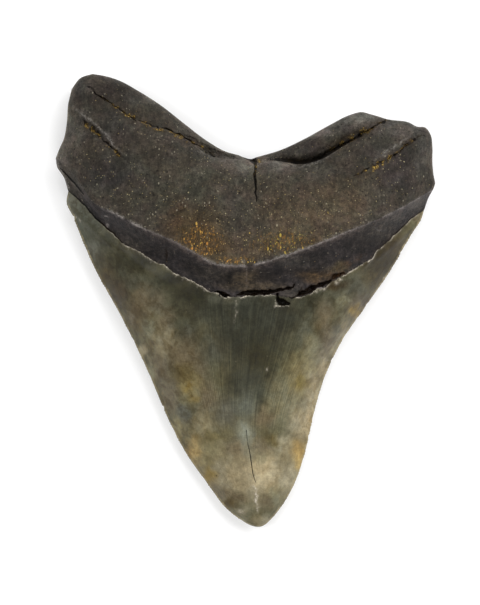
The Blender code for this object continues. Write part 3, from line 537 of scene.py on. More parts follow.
FIRST_COLUMNS = 22  # of the coarse mesh that is then cut finer
EDGE_CROWDING = 0.75
ROWS = (
    *(0, 0.04, 0.12, 0.3, 0.55, 0.8, 0.95),
    *(1, 1.04, 1.12, 1.24, 1.36, 1.48, 1.6, 1.72, 1.84, 1.94),
    *(2, 2.15, 2.5, 2.85),
    *(3, 3.004, 3.05, 3.1, 3.16, 3.22, 3.28, 3.34, 3.4, 3.46, 3.52, 3.58, 3.64, 3.7, 3.76, 3.82, 3.88, 3.92),
    *(3.95, 3.975, 3.99, 3.996),
)  # fmt: skip
LONGEST_LINGUAL = 1.05  # edges are cut until they are shorter than this
LONGEST_LABIAL = 2.6
LONGEST_AT_GAPS = 0.24
LONGEST_AT_TRENCHES = 0.34
LONGEST_AT_ENAMEL_LINE = 0.36
LONGEST_AT_CREST = 0.4
LONGEST_AT_SERRATIONS = 0.25
GROWTH = 1.0  # how fast the edges get longer away from details, per millimetre
PASSES = 9
# The enamel's grain runs along the tooth: these turn a place on it into millimetres.
GRAIN_WIDTH = 95
GRAIN_LENGTH = 30


def smoothstep(low, high, value):
    share = np.clip((value - low) / (high - low), 0, 1)
    return share * share * (3 - 2 * share)


def profile(place, table):
    return np.interp(place, *np.transpose(table))


class Line:
    """A smooth line through a few points, read at shares of its length."""

    def __init__(self, points, middle_x=None, steps=16):
        points = np.array(points, float)
        knots = np.append(0, np.cumsum(np.linalg.norm(np.diff(points, axis=0), axis=1)))
        slopes = np.gradient(points, knots, axis=0)
        fine = np.unique(np.concatenate([np.linspace(a, b, steps) for a, b in zip(knots, knots[1:])]))
        span = np.clip(np.searchsorted(knots, fine, side="right") - 1, 0, len(knots) - 2)
        length = (knots[span + 1] - knots[span])[:, None]
        t = (fine - knots[span])[:, None] / length
        self.points = (
            (1 + 2 * t) * (1 - t) ** 2 * points[span]
            + t * (1 - t) ** 2 * length * slopes[span]
            + t**2 * (3 - 2 * t) * points[span + 1]
            + t**2 * (t - 1) * length * slopes[span + 1]
        )
        self.shares = np.append(0, np.cumsum(np.linalg.norm(np.diff(self.points, axis=0), axis=1)))
        self.length = self.shares[-1]
        self.shares /= self.length
        self.middle = 0.5
        if middle_x is not None:
            self.middle = np.interp(middle_x, self.points[:, 0], self.shares)

    def at(self, share):
        """The points at these shares, where 0.5 is the line's middle point."""
        share = np.interp(share, (0, 0.5, 1), (0, self.middle, 1))
        return np.column_stack([np.interp(share, self.shares, self.points[:, axis]) for axis in (0, 1)])


class Face:
    """One face of the tooth, seen from above: a Coons patch for each band between two guide lines."""

    def __init__(self, guides):
        self.guides = [Line(points, x) for points, x in zip(guides, MIDDLE_X)]
        self.left = [Line(points) for points in LEFT_SIDE]
        self.right = [Line(points) for points in RIGHT_SIDE]

    def places(self, across, along):
        """The (x, y) of these places."""
        found = np.empty((len(across), 2))
        bands = np.minimum(along.astype(int), TIP - 1)
        for band in range(TIP):
            here = bands == band
            if here.any():
                found[here] = self.patch(band, across[here], along[here] - band)
        return found

    def patch(self, band, u, t):
        left, right = self.left[band].at(t), self.right[band].at(t)
        left_ends, right_ends = self.left[band].points[[0, -1]], self.right[band].points[[0, -1]]
        guides = [guide.at(u) for guide in self.guides[band : band + 2]]
        u, t = u[:, None], t[:, None]
        places = (1 - u) * left + u * right
        for guide, start, end, share in zip(guides, left_ends, right_ends, (1 - t, t)):
            places = places + share * (guide - (1 - u) * start - u * end)
        return places

    def broken(self, across, along):
        """How far the enamel's broken edge lies from the smooth guide line, fading away from the edge."""
        shift = Line(BROKEN_LINE, MIDDLE_X[-1]).at(across) - self.guides[-1].at(across)
        away = np.where(along > ENAMEL, along - ENAMEL, (ENAMEL - along) / CROWN_TO_BAND) * CROWN_LENGTH
        return shift * bell(away, BREAK_FADE)[:, None]


def bell(distance, width):
    """1 at no distance, falling smoothly to nothing at about twice the width."""
    return np.exp(-((distance / width) ** 2))


LINGUAL = Face((BASAL_MARGIN, GROOVE_LIP, CREST_LINE, ENAMEL_LINE))
LABIAL = Face((BASAL_MARGIN, LABIAL_ARCH, LABIAL_WAIST, LABIAL_ENAMEL_LINE))


def nearest(line, places, chunk=4000):
    """For each place: its distance to a line of points, and where on the line its nearest spot is."""
    start, step = line[:-1], np.diff(line, axis=0)
    square = np.maximum((step**2).sum(1), 1e-12)
    found = []
    for k in range(0, len(places), chunk):
        offset = places[k : k + chunk, None] - start
        share = np.clip((offset * step).sum(2) / square, 0, 1)
        distance = np.linalg.norm(offset - share[..., None] * step, axis=2)
        best = distance.argmin(1)
        rows = np.arange(len(best))
        found.append(np.column_stack([distance[rows, best], best + share[rows, best]]))
    found = np.concatenate(found)
    return found[:, 0], found[:, 1]


def distance_to(line, places):
    return nearest(line, places)[0]


def root_outline():
    """The points of the root's outline, from the enamel's left end over the lobes to its right end."""
    left = [Line(points).points[::-1] for points in LEFT_SIDE[ENAMEL - 1 :: -1]]
    right = [Line(points).points for points in RIGHT_SIDE[:ENAMEL]]
    return np.concatenate([*left, Line(BASAL_MARGIN).points, *right])[::4]


ROOT_OUTLINE = root_outline()
LIP_POINTS = Line(GROOVE_LIP).points[::4]
ENAMEL_POINTS = Line(BROKEN_LINE).points[::4]
LABIAL_ENAMEL_POINTS = Line(LABIAL_ENAMEL_LINE).points[::4]
CREST_POINTS = Line(CREST_LINE).points[::4]
CUTTING_EDGES = np.concatenate(
    [Line(LEFT_SIDE[-1]).points, Line(RIGHT_SIDE[-1]).points[::-1]]
)[::3]


def fractal(places, size, octaves=3, layer=0.0):
    """Fractal noise, about -1 to 1, whose largest lumps are about this size."""
    points = np.column_stack([places / size, np.full(len(places), layer)])
    return np.array([noise.fractal(point, 1.0, 2.0, octaves) for point in points.tolist()])


def lumps(places, size):
    return np.array([noise.noise(Vector((x, y, 0)) / size) for x, y in places.tolist()])


def rounded(distance, radius):
    """The height of a rounded edge, 0 to 1, this far in from it."""
    return np.sqrt(1 - (1 - np.clip(distance / radius, 0, 1)) ** 2)


def edge_height(along):
    return profile(along, EDGE_PROFILE)


def below_lip(across, along, places):
    shelf = profile(across, SHELF_DEPTHS)
    valley = profile(across, VALLEY_DEPTHS)
    drop = shelf + valley * bell(distance_to(LIP_POINTS, places), VALLEY_WIDTH)
    return np.where(along < LIP, drop * smoothstep(0, 0.05, LIP - along), 0)


def root_face(across, along):
    side = np.abs(2 * across - 1)
    down = np.clip(along - LIP, 0, 1)
    lobe = LOBE_HEIGHT - 2 * down
    return lobe + (profile(down, ROOT_PROFILE) - lobe) * (1 - side**2.2) ** 1.25


def crown_face(across, along):
    side = np.abs(2 * across - 1)
    down = np.clip(along - ENAMEL, 0, 1)
    rise = (CROWN_HEIGHT - edge_height(ENAMEL)) * (1 - down**1.5) ** 0.8
    ridge = 0.4 * smoothstep(0.4, 1, down)
    return edge_height(along) + rise * ((1 - ridge) * (1 - side**2) ** 1.12 + ridge * (1 - side))


def lingual_heights(across, along, places):
    edge = edge_height(along)
    inwards = distance_to(ROOT_OUTLINE, places)
    root = root_face(across, along) + RELIEF * lumps(places, RELIEF_SIZE) - below_lip(across, along, places)
    root = edge + (root - edge) * rounded(inwards, LINGUAL_ROUNDING)
    crown = crown_face(across, along)
    step = ENAMEL_STEP * smoothstep(0, 0.12, np.minimum(across, 1 - across))
    over = np.clip(along - CREST, 0, 1)
    cove = COVE_DEPTH * np.sin(math.pi * over) * (1 - np.abs(2 * across - 1) ** 6)
    cove *= smoothstep(0.02, 0.2, across)
    bourlette = root + (crown - step - root) * smoothstep(-0.25, 1, over) - cove
    return np.select([along <= CREST, along <= ENAMEL], [root, bourlette], crown)


def labial_heights(across, along, places):
    side = np.abs(2 * across - 1)
    edge = edge_height(along)
    inwards = distance_to(ROOT_OUTLINE, places)
    arch = np.maximum(0, (ARCH_HEIGHT + 0.3) * np.exp(-((side / 0.5) ** 2)) - 0.3)
    root = edge - (edge - arch) * rounded(inwards, LABIAL_ROUNDING)
    down = np.clip(along - ENAMEL, 0, 1)
    middle = profile(down, LABIAL_PROFILE)
    crown = np.maximum(0, middle + (edge - middle) * side**2.3)
    return root + (crown - root) * smoothstep(CREST, ENAMEL, along)


def surface(across, along, side):
    """The plain surface's points. side is 1 on the lingual face, -1 on the labial one, 0 on the outline."""
    points = np.empty((len(across), 3))
    for face, heights, here in ((LINGUAL, lingual_heights, side >= 0), (LABIAL, labial_heights, side < 0)):
        if not here.any():
            continue
        u, v = across[here], along[here]
        places = face.places(u, v)
        heights_here = heights(u, v, places)
        if face is LINGUAL:
            places += face.broken(u, v)
        points[here] = np.column_stack([places, heights_here])
    points[side == 0, 2] = edge_height(along[side == 0])
    return points


def coarse_mesh():
    """The coarse mesh: (across, along, side) of its points, and its triangles."""
    even = np.linspace(0, 1, FIRST_COLUMNS + 1)
    columns = even - EDGE_CROWDING * np.sin(2 * math.pi * even) / (2 * math.pi)
    last = len(columns) - 1
    points, faces, grids = [], [], []

    def point(*values):
        points.append(values)
        return len(points) - 1

    for side in (1, -1):
        grid = []
        for j, v in enumerate(ROWS):
            row = []
            for k, u in enumerate(columns):
                outline = j == 0 or k in (0, last)
                if outline and side < 0:
                    row.append(grids[0][j][k])
                else:
                    row.append(point(u, v, 0 if outline else side))
            grid.append(row)
        grids.append(grid)
    tip = point(0.5, TIP, 0)
    for side, grid in zip((1, -1), grids):
        found = []
        for j in range(len(grid) - 1):
            for k in range(last):
                a, b, c, d = grid[j][k], grid[j + 1][k], grid[j + 1][k + 1], grid[j][k + 1]
                # Each corner square is cut towards its inner corner, so that no cut joins two outline points.
                found += [(a, b, c), (a, c, d)] if 2 * k < last else [(a, b, d), (b, c, d)]
        found += [(grid[-1][k], tip, grid[-1][k + 1]) for k in range(last)]
        faces.append(np.array(found)[:, ::side])
    return np.array(points, float), faces


class Raster:
    """A field over the tooth, worked out once on a grid and then read in between."""

    def __init__(self, field, low=(-50, -60), high=(50, 60), pitch=0.25):
        self.low, self.pitch = np.array(low, float), pitch
        x, y = (np.arange(a, b + pitch, pitch) for a, b in zip(low, high))
        places = np.stack(np.meshgrid(x, y, indexing="ij"), 2).reshape(-1, 2)
        self.values = field(places).reshape(len(x), len(y))

    def __call__(self, places):
        spot = (places - self.low) / self.pitch
        cell = np.clip(spot.astype(int), 0, np.array(self.values.shape) - 2)
        (i, j), (s, t) = cell.T, (spot - cell).T
        v = self.values
        near = v[i, j] * (1 - s) + v[i + 1, j] * s
        far = v[i, j + 1] * (1 - s) + v[i + 1, j + 1] * s
        return near * (1 - t) + far * t


def beside(path, places):
    """Each place's distance to a path of (x, y, half width, size), and its half width and size there."""
    path = np.array(path, float)
    distance, spot = nearest(path[:, :2], places)
    half, size = (np.interp(spot, np.arange(len(path)), path[:, k]) for k in (2, 3))
    return distance, half, size


def growing(finest, beyond, margin=0):
    """How long an edge may be, this far beyond a detail."""
    return finest + GROWTH * np.maximum(0, beyond - margin)


def detail_length(places):
    """How long an edge may be, from how near the trenches, ridges, spots, crest and enamel line are."""
    found = [
        growing(LONGEST_AT_ENAMEL_LINE, distance_to(ENAMEL_POINTS, places), 0.2),
        growing(LONGEST_AT_CREST, distance_to(CREST_POINTS, places), 0.4),
    ]
    for path in RIDGES.values():
        distance, half, _ = beside(path, places)
        found.append(growing(LONGEST_AT_TRENCHES, distance - half))
    for name, path in TRENCHES.items():
        distance, half, _ = beside(path, places)
        finest = LONGEST_AT_GAPS if name in SHARP else LONGEST_AT_TRENCHES
        found.append(growing(finest, distance - half, 0.1))
    for x, y, radius, _ in SPOTS:
        distance = np.hypot(places[:, 0] - x, places[:, 1] - y)
        found.append(growing(LONGEST_AT_TRENCHES, distance - radius))
    return np.min(found, axis=0)


def wanted_length(middle, side, along):
    """How long an edge may be, from where it is."""
    plain = np.where(side < 0, LONGEST_LABIAL, LONGEST_LINGUAL)
    at_edge = LONGEST_AT_SERRATIONS + GROWTH * FROM_EDGES(middle)
    at_details = np.where(side > 0, DETAIL_LENGTH(middle), plain)
    return np.minimum(np.minimum(plain, at_details), np.where(along > ENAMEL, at_edge, plain))


def split(faces, cuts, points):
    """Cuts triangles at the new points on their edges. cuts holds each edge's new point, or -1."""
    count = (cuts >= 0).sum(1)
    pieces = [faces[count == 0]]
    for number, offset in ((1, 0), (2, 1)):
        here = count == number
        f, c = faces[here], cuts[here]
        # Turn each triangle so that its one cut edge comes first, or its one whole edge comes last.
        first = (c >= 0).argmax(1) if number == 1 else ((c < 0).argmax(1) + offset) % 3
        turned = (first[:, None] + np.arange(3)) % 3
        f = np.take_along_axis(f, turned, 1)
        c = np.take_along_axis(c, turned, 1)
        if number == 1:
            pieces.append(np.column_stack([f[:, 0], c[:, 0], f[:, 2]]))
            pieces.append(np.column_stack([c[:, 0], f[:, 1], f[:, 2]]))
            continue
        pieces.append(np.column_stack([c[:, 0], f[:, 1], c[:, 1]]))
        one = np.linalg.norm(points[f[:, 0]] - points[c[:, 1]], axis=1)
        other = np.linalg.norm(points[c[:, 0]] - points[f[:, 2]], axis=1)
        short = (one < other)[:, None]
        a, b, p, q = f[:, 0], f[:, 2], c[:, 0], c[:, 1]
        pieces.append(np.where(short, np.column_stack([a, p, q]), np.column_stack([a, p, b])))
        pieces.append(np.where(short, np.column_stack([a, q, b]), np.column_stack([p, q, b])))
    f, c = faces[count == 3], cuts[count == 3]
    for corner in range(3):
        pieces.append(np.column_stack([f[:, corner], c[:, corner], c[:, corner - 1]]))
    pieces.append(c)
    return np.concatenate(pieces)


DETAIL_LENGTH = Raster(detail_length)
FROM_EDGES = Raster(lambda places: distance_to(CUTTING_EDGES, places))
FROM_ENAMEL = Raster(lambda places: distance_to(ENAMEL_POINTS, places))


def fine_mesh():
    """The mesh with its long edges cut: (across, along, side) of its points, and each face's triangles."""
    params, faces = coarse_mesh()
    points = surface(*params.T)
    for _ in range(PASSES):
        corners = np.concatenate(faces)
        ends = np.sort(np.concatenate([corners[:, [0, 1]], corners[:, [1, 2]], corners[:, [2, 0]]]), axis=1)
        edges, number = np.unique(ends, axis=0, return_inverse=True)
        number = number.reshape(3, -1).T
        a, b = edges.T
        side = np.where(params[a, 2] != 0, params[a, 2], params[b, 2])
        middle = (points[a, :2] + points[b, :2]) / 2
        length = np.linalg.norm(points[a] - points[b], axis=1)
        long = length > wanted_length(middle, side, (params[a, 1] + params[b, 1]) / 2)
        long &= ~((params[a, 1] == TIP) | (params[b, 1] == TIP))
        if not long.any():
            break
        new = (params[a[long]] + params[b[long]]) / 2
        new[:, 2] = side[long]
        index = np.full(len(edges), -1)
        index[long] = len(params) + np.arange(long.sum())
        params = np.concatenate([params, new])
        points = np.concatenate([points, surface(*new.T)])
        cuts = index[number]
        first = len(faces[0])
        faces = [split(faces[0], cuts[:first], points), split(faces[1], cuts[first:], points)]
    return params, faces


# ---- Relief and masks --------------------------------------------------------------------------------------


def along_edge(line, places):
    """Each place's distance to a cutting edge, how far down the edge it is, and the way outwards there."""
    distance, spot = nearest(line.points, places)
    index = np.arange(len(line.points))
    reach = np.interp(spot, index, line.shares) * line.length
    tangent = np.gradient(line.points, axis=0)
    tangent = np.column_stack([np.interp(spot, index, tangent[:, k]) for k in (0, 1)])
    tangent /= np.linalg.norm(tangent, axis=1)[:, None]
    return distance, reach, np.column_stack([tangent[:, 1], -tangent[:, 0]])


def saw(points, along):
    """Moves the points at the cutting edges, to make the serrations and the chips."""
    places = points[:, :2].copy()
    for line, chips, turn in ((Line(LEFT_SIDE[-1]), LEFT_CHIPS, 1), (Line(RIGHT_SIDE[-1]), RIGHT_CHIPS, -1)):
        here = (along > ENAMEL + 0.003) & (FROM_EDGES(places) < 2.5)
        distance, reach, outwards = along_edge(line, places[here])
        teeth = 0.5 - 0.5 * np.cos(2 * math.pi * reach / SERRATION_PITCH)
        wear = fractal(np.column_stack([reach, 0 * reach]), 2.4, 3, 70.0 + turn)
        fade = smoothstep(0, 3, reach) * (along[here] < SERRATIONS_END)
        worn = np.clip(0.55 + 0.9 * wear, 0.05, 1.1)
        shift = SERRATION_DEPTH * teeth * worn * fade * bell(distance, SERRATION_REACH)
        for spot, half, depth in chips:
            shift -= depth * bell(reach - spot, half) * bell(distance, CHIP_REACH)
        points[here, :2] += turn * outwards * shift[:, None]


def valley_share(across):
    """How deep the valley under the groove's lip is, as a share of its deepest."""
    return profile(across, VALLEY_DEPTHS) / VALLEY_DEEPEST


def undercut(points, across, along, side):
    """Draws the hollow on the right in under the groove's lip."""
    down = (LIP - along) / LIP_DEPTH
    under = smoothstep(0, 0.5, down) * (1 - smoothstep(0.7, 1, down)) * valley_share(across)
    under = np.where((along < LIP) & (across > HOLLOW_START) & (side > 0), under, 0)
    points[:, :2] += under[:, None] * np.array(UNDERCUT)


def jag(points, along, side):
    """Makes the enamel's edge uneven."""
    places = points[:, :2].copy()
    here = (side > 0) & (FROM_ENAMEL(places) < 2)
    distance, spot = nearest(ENAMEL_POINTS, places[here])
    index = np.arange(len(ENAMEL_POINTS))
    spots = np.column_stack([np.interp(spot, index, ENAMEL_POINTS[:, k]) for k in (0, 1)])
    from_ends = np.minimum(spots[:, 0] - BROKEN_LINE[0][0], BROKEN_LINE[-1][0] - spots[:, 0])
    shift = JAG * fractal(spots, *JAG_NOISE) * bell(distance, 0.7) * smoothstep(0.5, 3, from_ends)
    points[here, 1] += shift


def warped(places, size, amount, layer):
    """Places that wander by this amount, so that what is measured from them gets uneven sides."""
    shift = [fractal(places, size, 2, layer + k) for k in (0, 10)]
    return places + amount * np.column_stack(shift)


def lingual_relief(u, v, spots, inwards, from_edge):
    """The lumps of the lingual face: strong on the root, faint on the bourlette and on the enamel."""
    rough = (1 - 0.6 * smoothstep(1.8, 2.1, v)) * (v < ENAMEL) * smoothstep(*RELIEF_FADE, inwards)
    shoulder = bell(np.linalg.norm(spots - np.array(PITTED_SHOULDER), axis=1), SHOULDER_WIDTH)
    lumpy = LUMP_HEIGHT * fractal(spots, *ROOT_LUMPS) + SWELL_HEIGHT * fractal(spots, *ROOT_SWELLS)
    rise = rough * lumpy * (1 + 2.5 * shoulder)
    rise += ENAMEL_SWELL_HEIGHT * fractal(spots, *ENAMEL_SWELLS) * (v > ENAMEL) * smoothstep(0, 3, from_edge)
    ribs = np.column_stack([distance_to(LIP_POINTS, spots) * 4, spots[:, 0] * 0.6])
    return rise + RIB_HEIGHT * fractal(ribs, *RIBS) * (v < LIP) * (u > RIBS_START)


def cut_trenches(rise, spots, wandering):
    """Lowers the surface at the trenches, and returns how dark they are painted: partly dirt, partly painted
    shade.
    """
    dirt_and_shade = np.zeros(len(spots))
    patchy = smoothstep(-0.25, 0.25, fractal(spots, *DIRT_AND_SHADE_PATCHES))
    for name, path in TRENCHES.items():
        share = STRAIGHT.get(name, TRENCH_WARP) / TRENCH_WARP
        distance, half, depth = beside(path, spots + share * (wandering - spots))
        rise -= depth * (1 - smoothstep(*TRENCH_SIDE, distance / half))
        # Painted shade, partly dirt: the trench is darkened in its colour as well as cut.
        darkened = 1 - smoothstep(*DIRT_AND_SHADE_SIDE, distance / half)
        dirt_and_shade = np.maximum(dirt_and_shade, darkened * BLACKNESS.get(name, patchy))
    return dirt_and_shade


def add_spots(rise, dirt_and_shade, wear_and_highlight, wandering):
    """Adds the pits, which hold dirt, and the specks, which are pale."""
    for x, y, radius, depth in SPOTS:
        spot = bell(np.hypot(wandering[:, 0] - x, wandering[:, 1] - y), radius)
        rise -= depth * spot
        mask = dirt_and_shade if depth > 0 else wear_and_highlight
        np.maximum(mask, SPOT_STRENGTH * spot, out=mask)


def add_ridges(rise, wear_and_highlight, wandering, worn):
    """Raises the low ridges, which are painted pale on top: partly wear, partly painted highlight."""
    for path in RIDGES.values():
        distance, half, size = beside(path, wandering)
        rise += size * bell(distance, half)
        np.maximum(wear_and_highlight, bell(distance, half) * size / WEAR_AND_HIGHLIGHT_HEIGHT * (0.25 + 0.75 * worn), out=wear_and_highlight)


def add_edges(rise, dirt_and_shade, wear_and_highlight, u, v, spots, worn):
    """Makes the crest a low worn ridge, and ends the enamel in a broken edge that stands up. Both get a pale
    line that is partly wear and partly painted highlight.
    """
    broken = 0.5 + 1.3 * fractal(spots, *BREAKS)
    to_crest = distance_to(CREST_POINTS, spots)
    across_fade = smoothstep(*BAND_START[1:], u) * smoothstep(0.04, 0.1, 1 - u)
    rise += CREST_HEIGHT * bell(to_crest, CREST_WIDTH) * across_fade
    whole, more = CREST_LIGHT_WIDTH
    light = bell(to_crest, whole + more * worn) * profile(spots[:, 0], CREST_LIGHT)
    np.maximum(wear_and_highlight, light * np.clip(broken + 0.25, 0, 1), out=wear_and_highlight)
    to_enamel = distance_to(ENAMEL_POINTS, spots)
    ends = smoothstep(0.05, 0.14, np.minimum(u, 1 - u))
    rise += ENAMEL_RIM_HEIGHT * bell(to_enamel, ENAMEL_RIM_WIDTH) * (v > ENAMEL) * ends
    light = bell(to_enamel, ENAMEL_LIGHT_WIDTH) * (v >= ENAMEL) * profile(spots[:, 0], ENAMEL_EDGE_LIGHT)
    np.maximum(wear_and_highlight, light * np.clip(broken + 0.2, 0.1, 1.2), out=wear_and_highlight)
    # Painted shade in the crease at the bourlette's foot, where the root overhangs the enamel.
    crease = bell(to_enamel, CREASE_WIDTH) * (v < ENAMEL) * profile(spots[:, 0], ENAMEL_CREASE)
    np.maximum(dirt_and_shade, crease, out=dirt_and_shade)


def ochre_mask(spots, wandering):
    """How much clay lies at each spot."""
    grains = np.clip(0.5 + 1.6 * fractal(spots, *OCHRE_GRAINS), 0, 1)
    ochre = np.zeros(len(spots))
    for path in OCHRE:
        distance, half, size = beside(path, wandering)
        ochre = np.maximum(ochre, size * bell(distance, half) * grains)
    return ochre


def fleck_mask(spots):
    """How thickly the flecks lie at each spot."""
    fleck = np.zeros(len(spots))
    for x, y, half_x, half_y, size in FLECKS:
        spread = size * bell((spots[:, 0] - x) / half_x, 1) * bell((spots[:, 1] - y) / half_y, 1)
        fleck = np.maximum(fleck, spread)
    return fleck


def carve(points, across, along, side):
    """Gives the surface its relief, and returns what the materials need to know at each point."""
    places = points[:, :2].copy()
    masks = {name: np.zeros(len(points)) for name in ("dirt_and_shade", "ochre", "wear_and_highlight", "fleck", "rim")}
    height = np.zeros(len(points))

    top = side > 0
    spots, u, v = places[top], across[top], along[top]
    inwards, from_edge = distance_to(ROOT_OUTLINE, spots), FROM_EDGES(spots)
    rise = lingual_relief(u, v, spots, inwards, from_edge)
    wandering = warped(spots, 1.3, TRENCH_WARP, 20)
    dirt_and_shade = cut_trenches(rise, spots, wandering)
    wear_and_highlight = np.zeros(len(spots))
    worn = np.clip(0.55 + 1.3 * fractal(spots, *WEAR), 0, 1)
    add_spots(rise, dirt_and_shade, wear_and_highlight, wandering)
    add_ridges(rise, wear_and_highlight, wandering, worn)
    add_edges(rise, dirt_and_shade, wear_and_highlight, u, v, spots, worn)
    # Dirt and painted shade lie deep in the valley under the groove's lip.
    valley = valley_share(u) * bell(distance_to(LIP_POINTS, spots), VALLEY_WIDTH) * (v < LIP)
    masks["dirt_and_shade"][top] = np.maximum(dirt_and_shade, np.clip(VALLEY_DIRT_AND_SHADE * valley, 0, 1) * smoothstep(0.5, 0.56, u))
    masks["wear_and_highlight"][top] = wear_and_highlight
    masks["ochre"][top] = ochre_mask(spots, wandering)
    masks["fleck"][top] = fleck_mask(spots) * (v < CREST + 0.03)
    height[top] = rise * smoothstep(0, 0.6, np.where(v < ENAMEL, inwards, from_edge))

    under = side < 0
    spots, v = places[under], along[under]
    root, crown = v < ENAMEL, v > ENAMEL
    to_enamel = distance_to(LABIAL_ENAMEL_POINTS, spots)
    rise = LABIAL_LUMP_HEIGHT * fractal(spots, *LABIAL_LUMPS)
    rise += LABIAL_RIM_HEIGHT * bell(to_enamel, LABIAL_RIM_WIDTH)
    rise *= root * smoothstep(*RELIEF_FADE, distance_to(ROOT_OUTLINE, spots))
    height[under] = rise + LABIAL_SWELL_HEIGHT * crown * fractal(spots, *LABIAL_SWELLS)
    masks["dirt_and_shade"][under] = LABIAL_DIRT * bell(to_enamel, LABIAL_CREASE_WIDTH) * root
    masks["fleck"][under] = LABIAL_FLECKS * root
    masks["rim"][along > ENAMEL] = bell(FROM_EDGES(places[along > ENAMEL]), RIM_LIGHT_WIDTH)

    points[:, 2] += height
    undercut(points, across, along, side)
    jag(points, along, side)
    saw(points, along)
    low, high = (np.array(corner) / MM for corner in cad_box)
    np.clip(points, low, high, out=points)
    return masks


def srgb(red, green, blue):
    """A colour given as 0 to 255 sRGB, in linear light."""
    value = np.array([red, green, blue]) / 255
    return np.where(value <= 0.04045, value / 12.92, ((value + 0.055) / 1.055) ** 2.4)


def stained(places, ground, stains):
    """The colour at each place: the ground colour with soft-edged stains on it."""
    colour = np.tile(srgb(*PALETTE[ground]), (len(places), 1))
    for size, amount, layer in STAIN_WARPS:
        places = warped(places, size, amount, layer)
    for x, y, half_x, half_y, share, stain in stains:
        away = np.hypot((places[:, 0] - x) / half_x, (places[:, 1] - y) / half_y)
        colour += share * np.exp(-(away[:, None] ** 3)) * (srgb(*PALETTE[stain]) - colour)
    return colour


def tint(points, along, side):
    """The colour of each point before the materials add their grain."""
    places = points[:, :2]
    colour = np.empty((len(points), 3))
    crown = along >= ENAMEL
    band = (along >= CREST) & ~crown & (side >= 0)
    for here, ground, stains in (
        (~crown & ~band, ROOT_GROUND, ROOT_STAINS),
        (band, BOURLETTE_GROUND, BOURLETTE_STAINS),
        (crown & (side >= 0), ENAMEL_GROUND, ENAMEL_STAINS),
        (crown & (side < 0), ENAMEL_GROUND, LABIAL_STAINS),
    ):
        colour[here] = stained(places[here], ground, stains)
    share = profile(places[band, 0], CREST_MAUVE) * bell(distance_to(CREST_POINTS, places[band]), MAUVE_WIDTH)
    colour[band] += share[:, None] * (srgb(*PALETTE["mauve"]) - colour[band])
    darkness = np.where(band, DARKNESS, ROOT_DARKNESS)[:, None]
    enamel = ENAMEL_DARKNESS * np.maximum(colour - ENAMEL_VEIL, DARKEST)
    return np.where(crown[:, None], enamel, darkness * colour)


def add_attribute(mesh, name, kind, values):
    """Stores a number, a vector or a colour at each point of the mesh."""
    field = {"FLOAT": "value", "FLOAT_VECTOR": "vector", "FLOAT_COLOR": "color"}[kind]
    data = mesh.attributes.new(name, kind, "POINT").data
    data.foreach_set(field, values.astype(np.float32).ravel())


def build_tooth():
    params, faces = fine_mesh()
    across, along, side = params.T
    points = surface(across, along, side)
    colour = tint(points, along, side)
    masks = carve(points, across, along, side)
    corners = np.concatenate(faces)
    mesh = bpy.data.meshes.new("tooth_surface")
    mesh.vertices.add(len(points))
    mesh.vertices.foreach_set("co", (points * MM).ravel())
    mesh.loops.add(corners.size)
    mesh.loops.foreach_set("vertex_index", corners.ravel())
    mesh.polygons.add(len(corners))
    mesh.polygons.foreach_set("loop_start", np.arange(0, corners.size, 3))
    mesh.polygons.foreach_set("loop_total", np.full(len(corners), 3))
    middle = along[corners].mean(1)
    lingual = np.arange(len(corners)) < len(faces[0])
    band = (middle > CREST) & lingual & (points[corners, 0].mean(1) > BAND_START[0])
    mesh.polygons.foreach_set("material_index", np.select([middle > ENAMEL, band], [2, 1], 0))
    for name, values in masks.items():
        add_attribute(mesh, name, "FLOAT", values)
    grain = np.column_stack([(across - 0.5) * GRAIN_WIDTH, along * GRAIN_LENGTH, side])
    add_attribute(mesh, "grain", "FLOAT_VECTOR", grain)
    add_attribute(mesh, "tint", "FLOAT_COLOR", np.column_stack([colour, np.ones(len(colour))]))
    mesh.update(calc_edges=True)
    mesh.validate()
    mesh.shade_smooth()
    tooth = bpy.data.objects.new("tooth_skin", mesh)
    bpy.context.scene.collection.objects.link(tooth)
    return tooth


# ---- Materials ---------------------------------------------------------------------------------------------


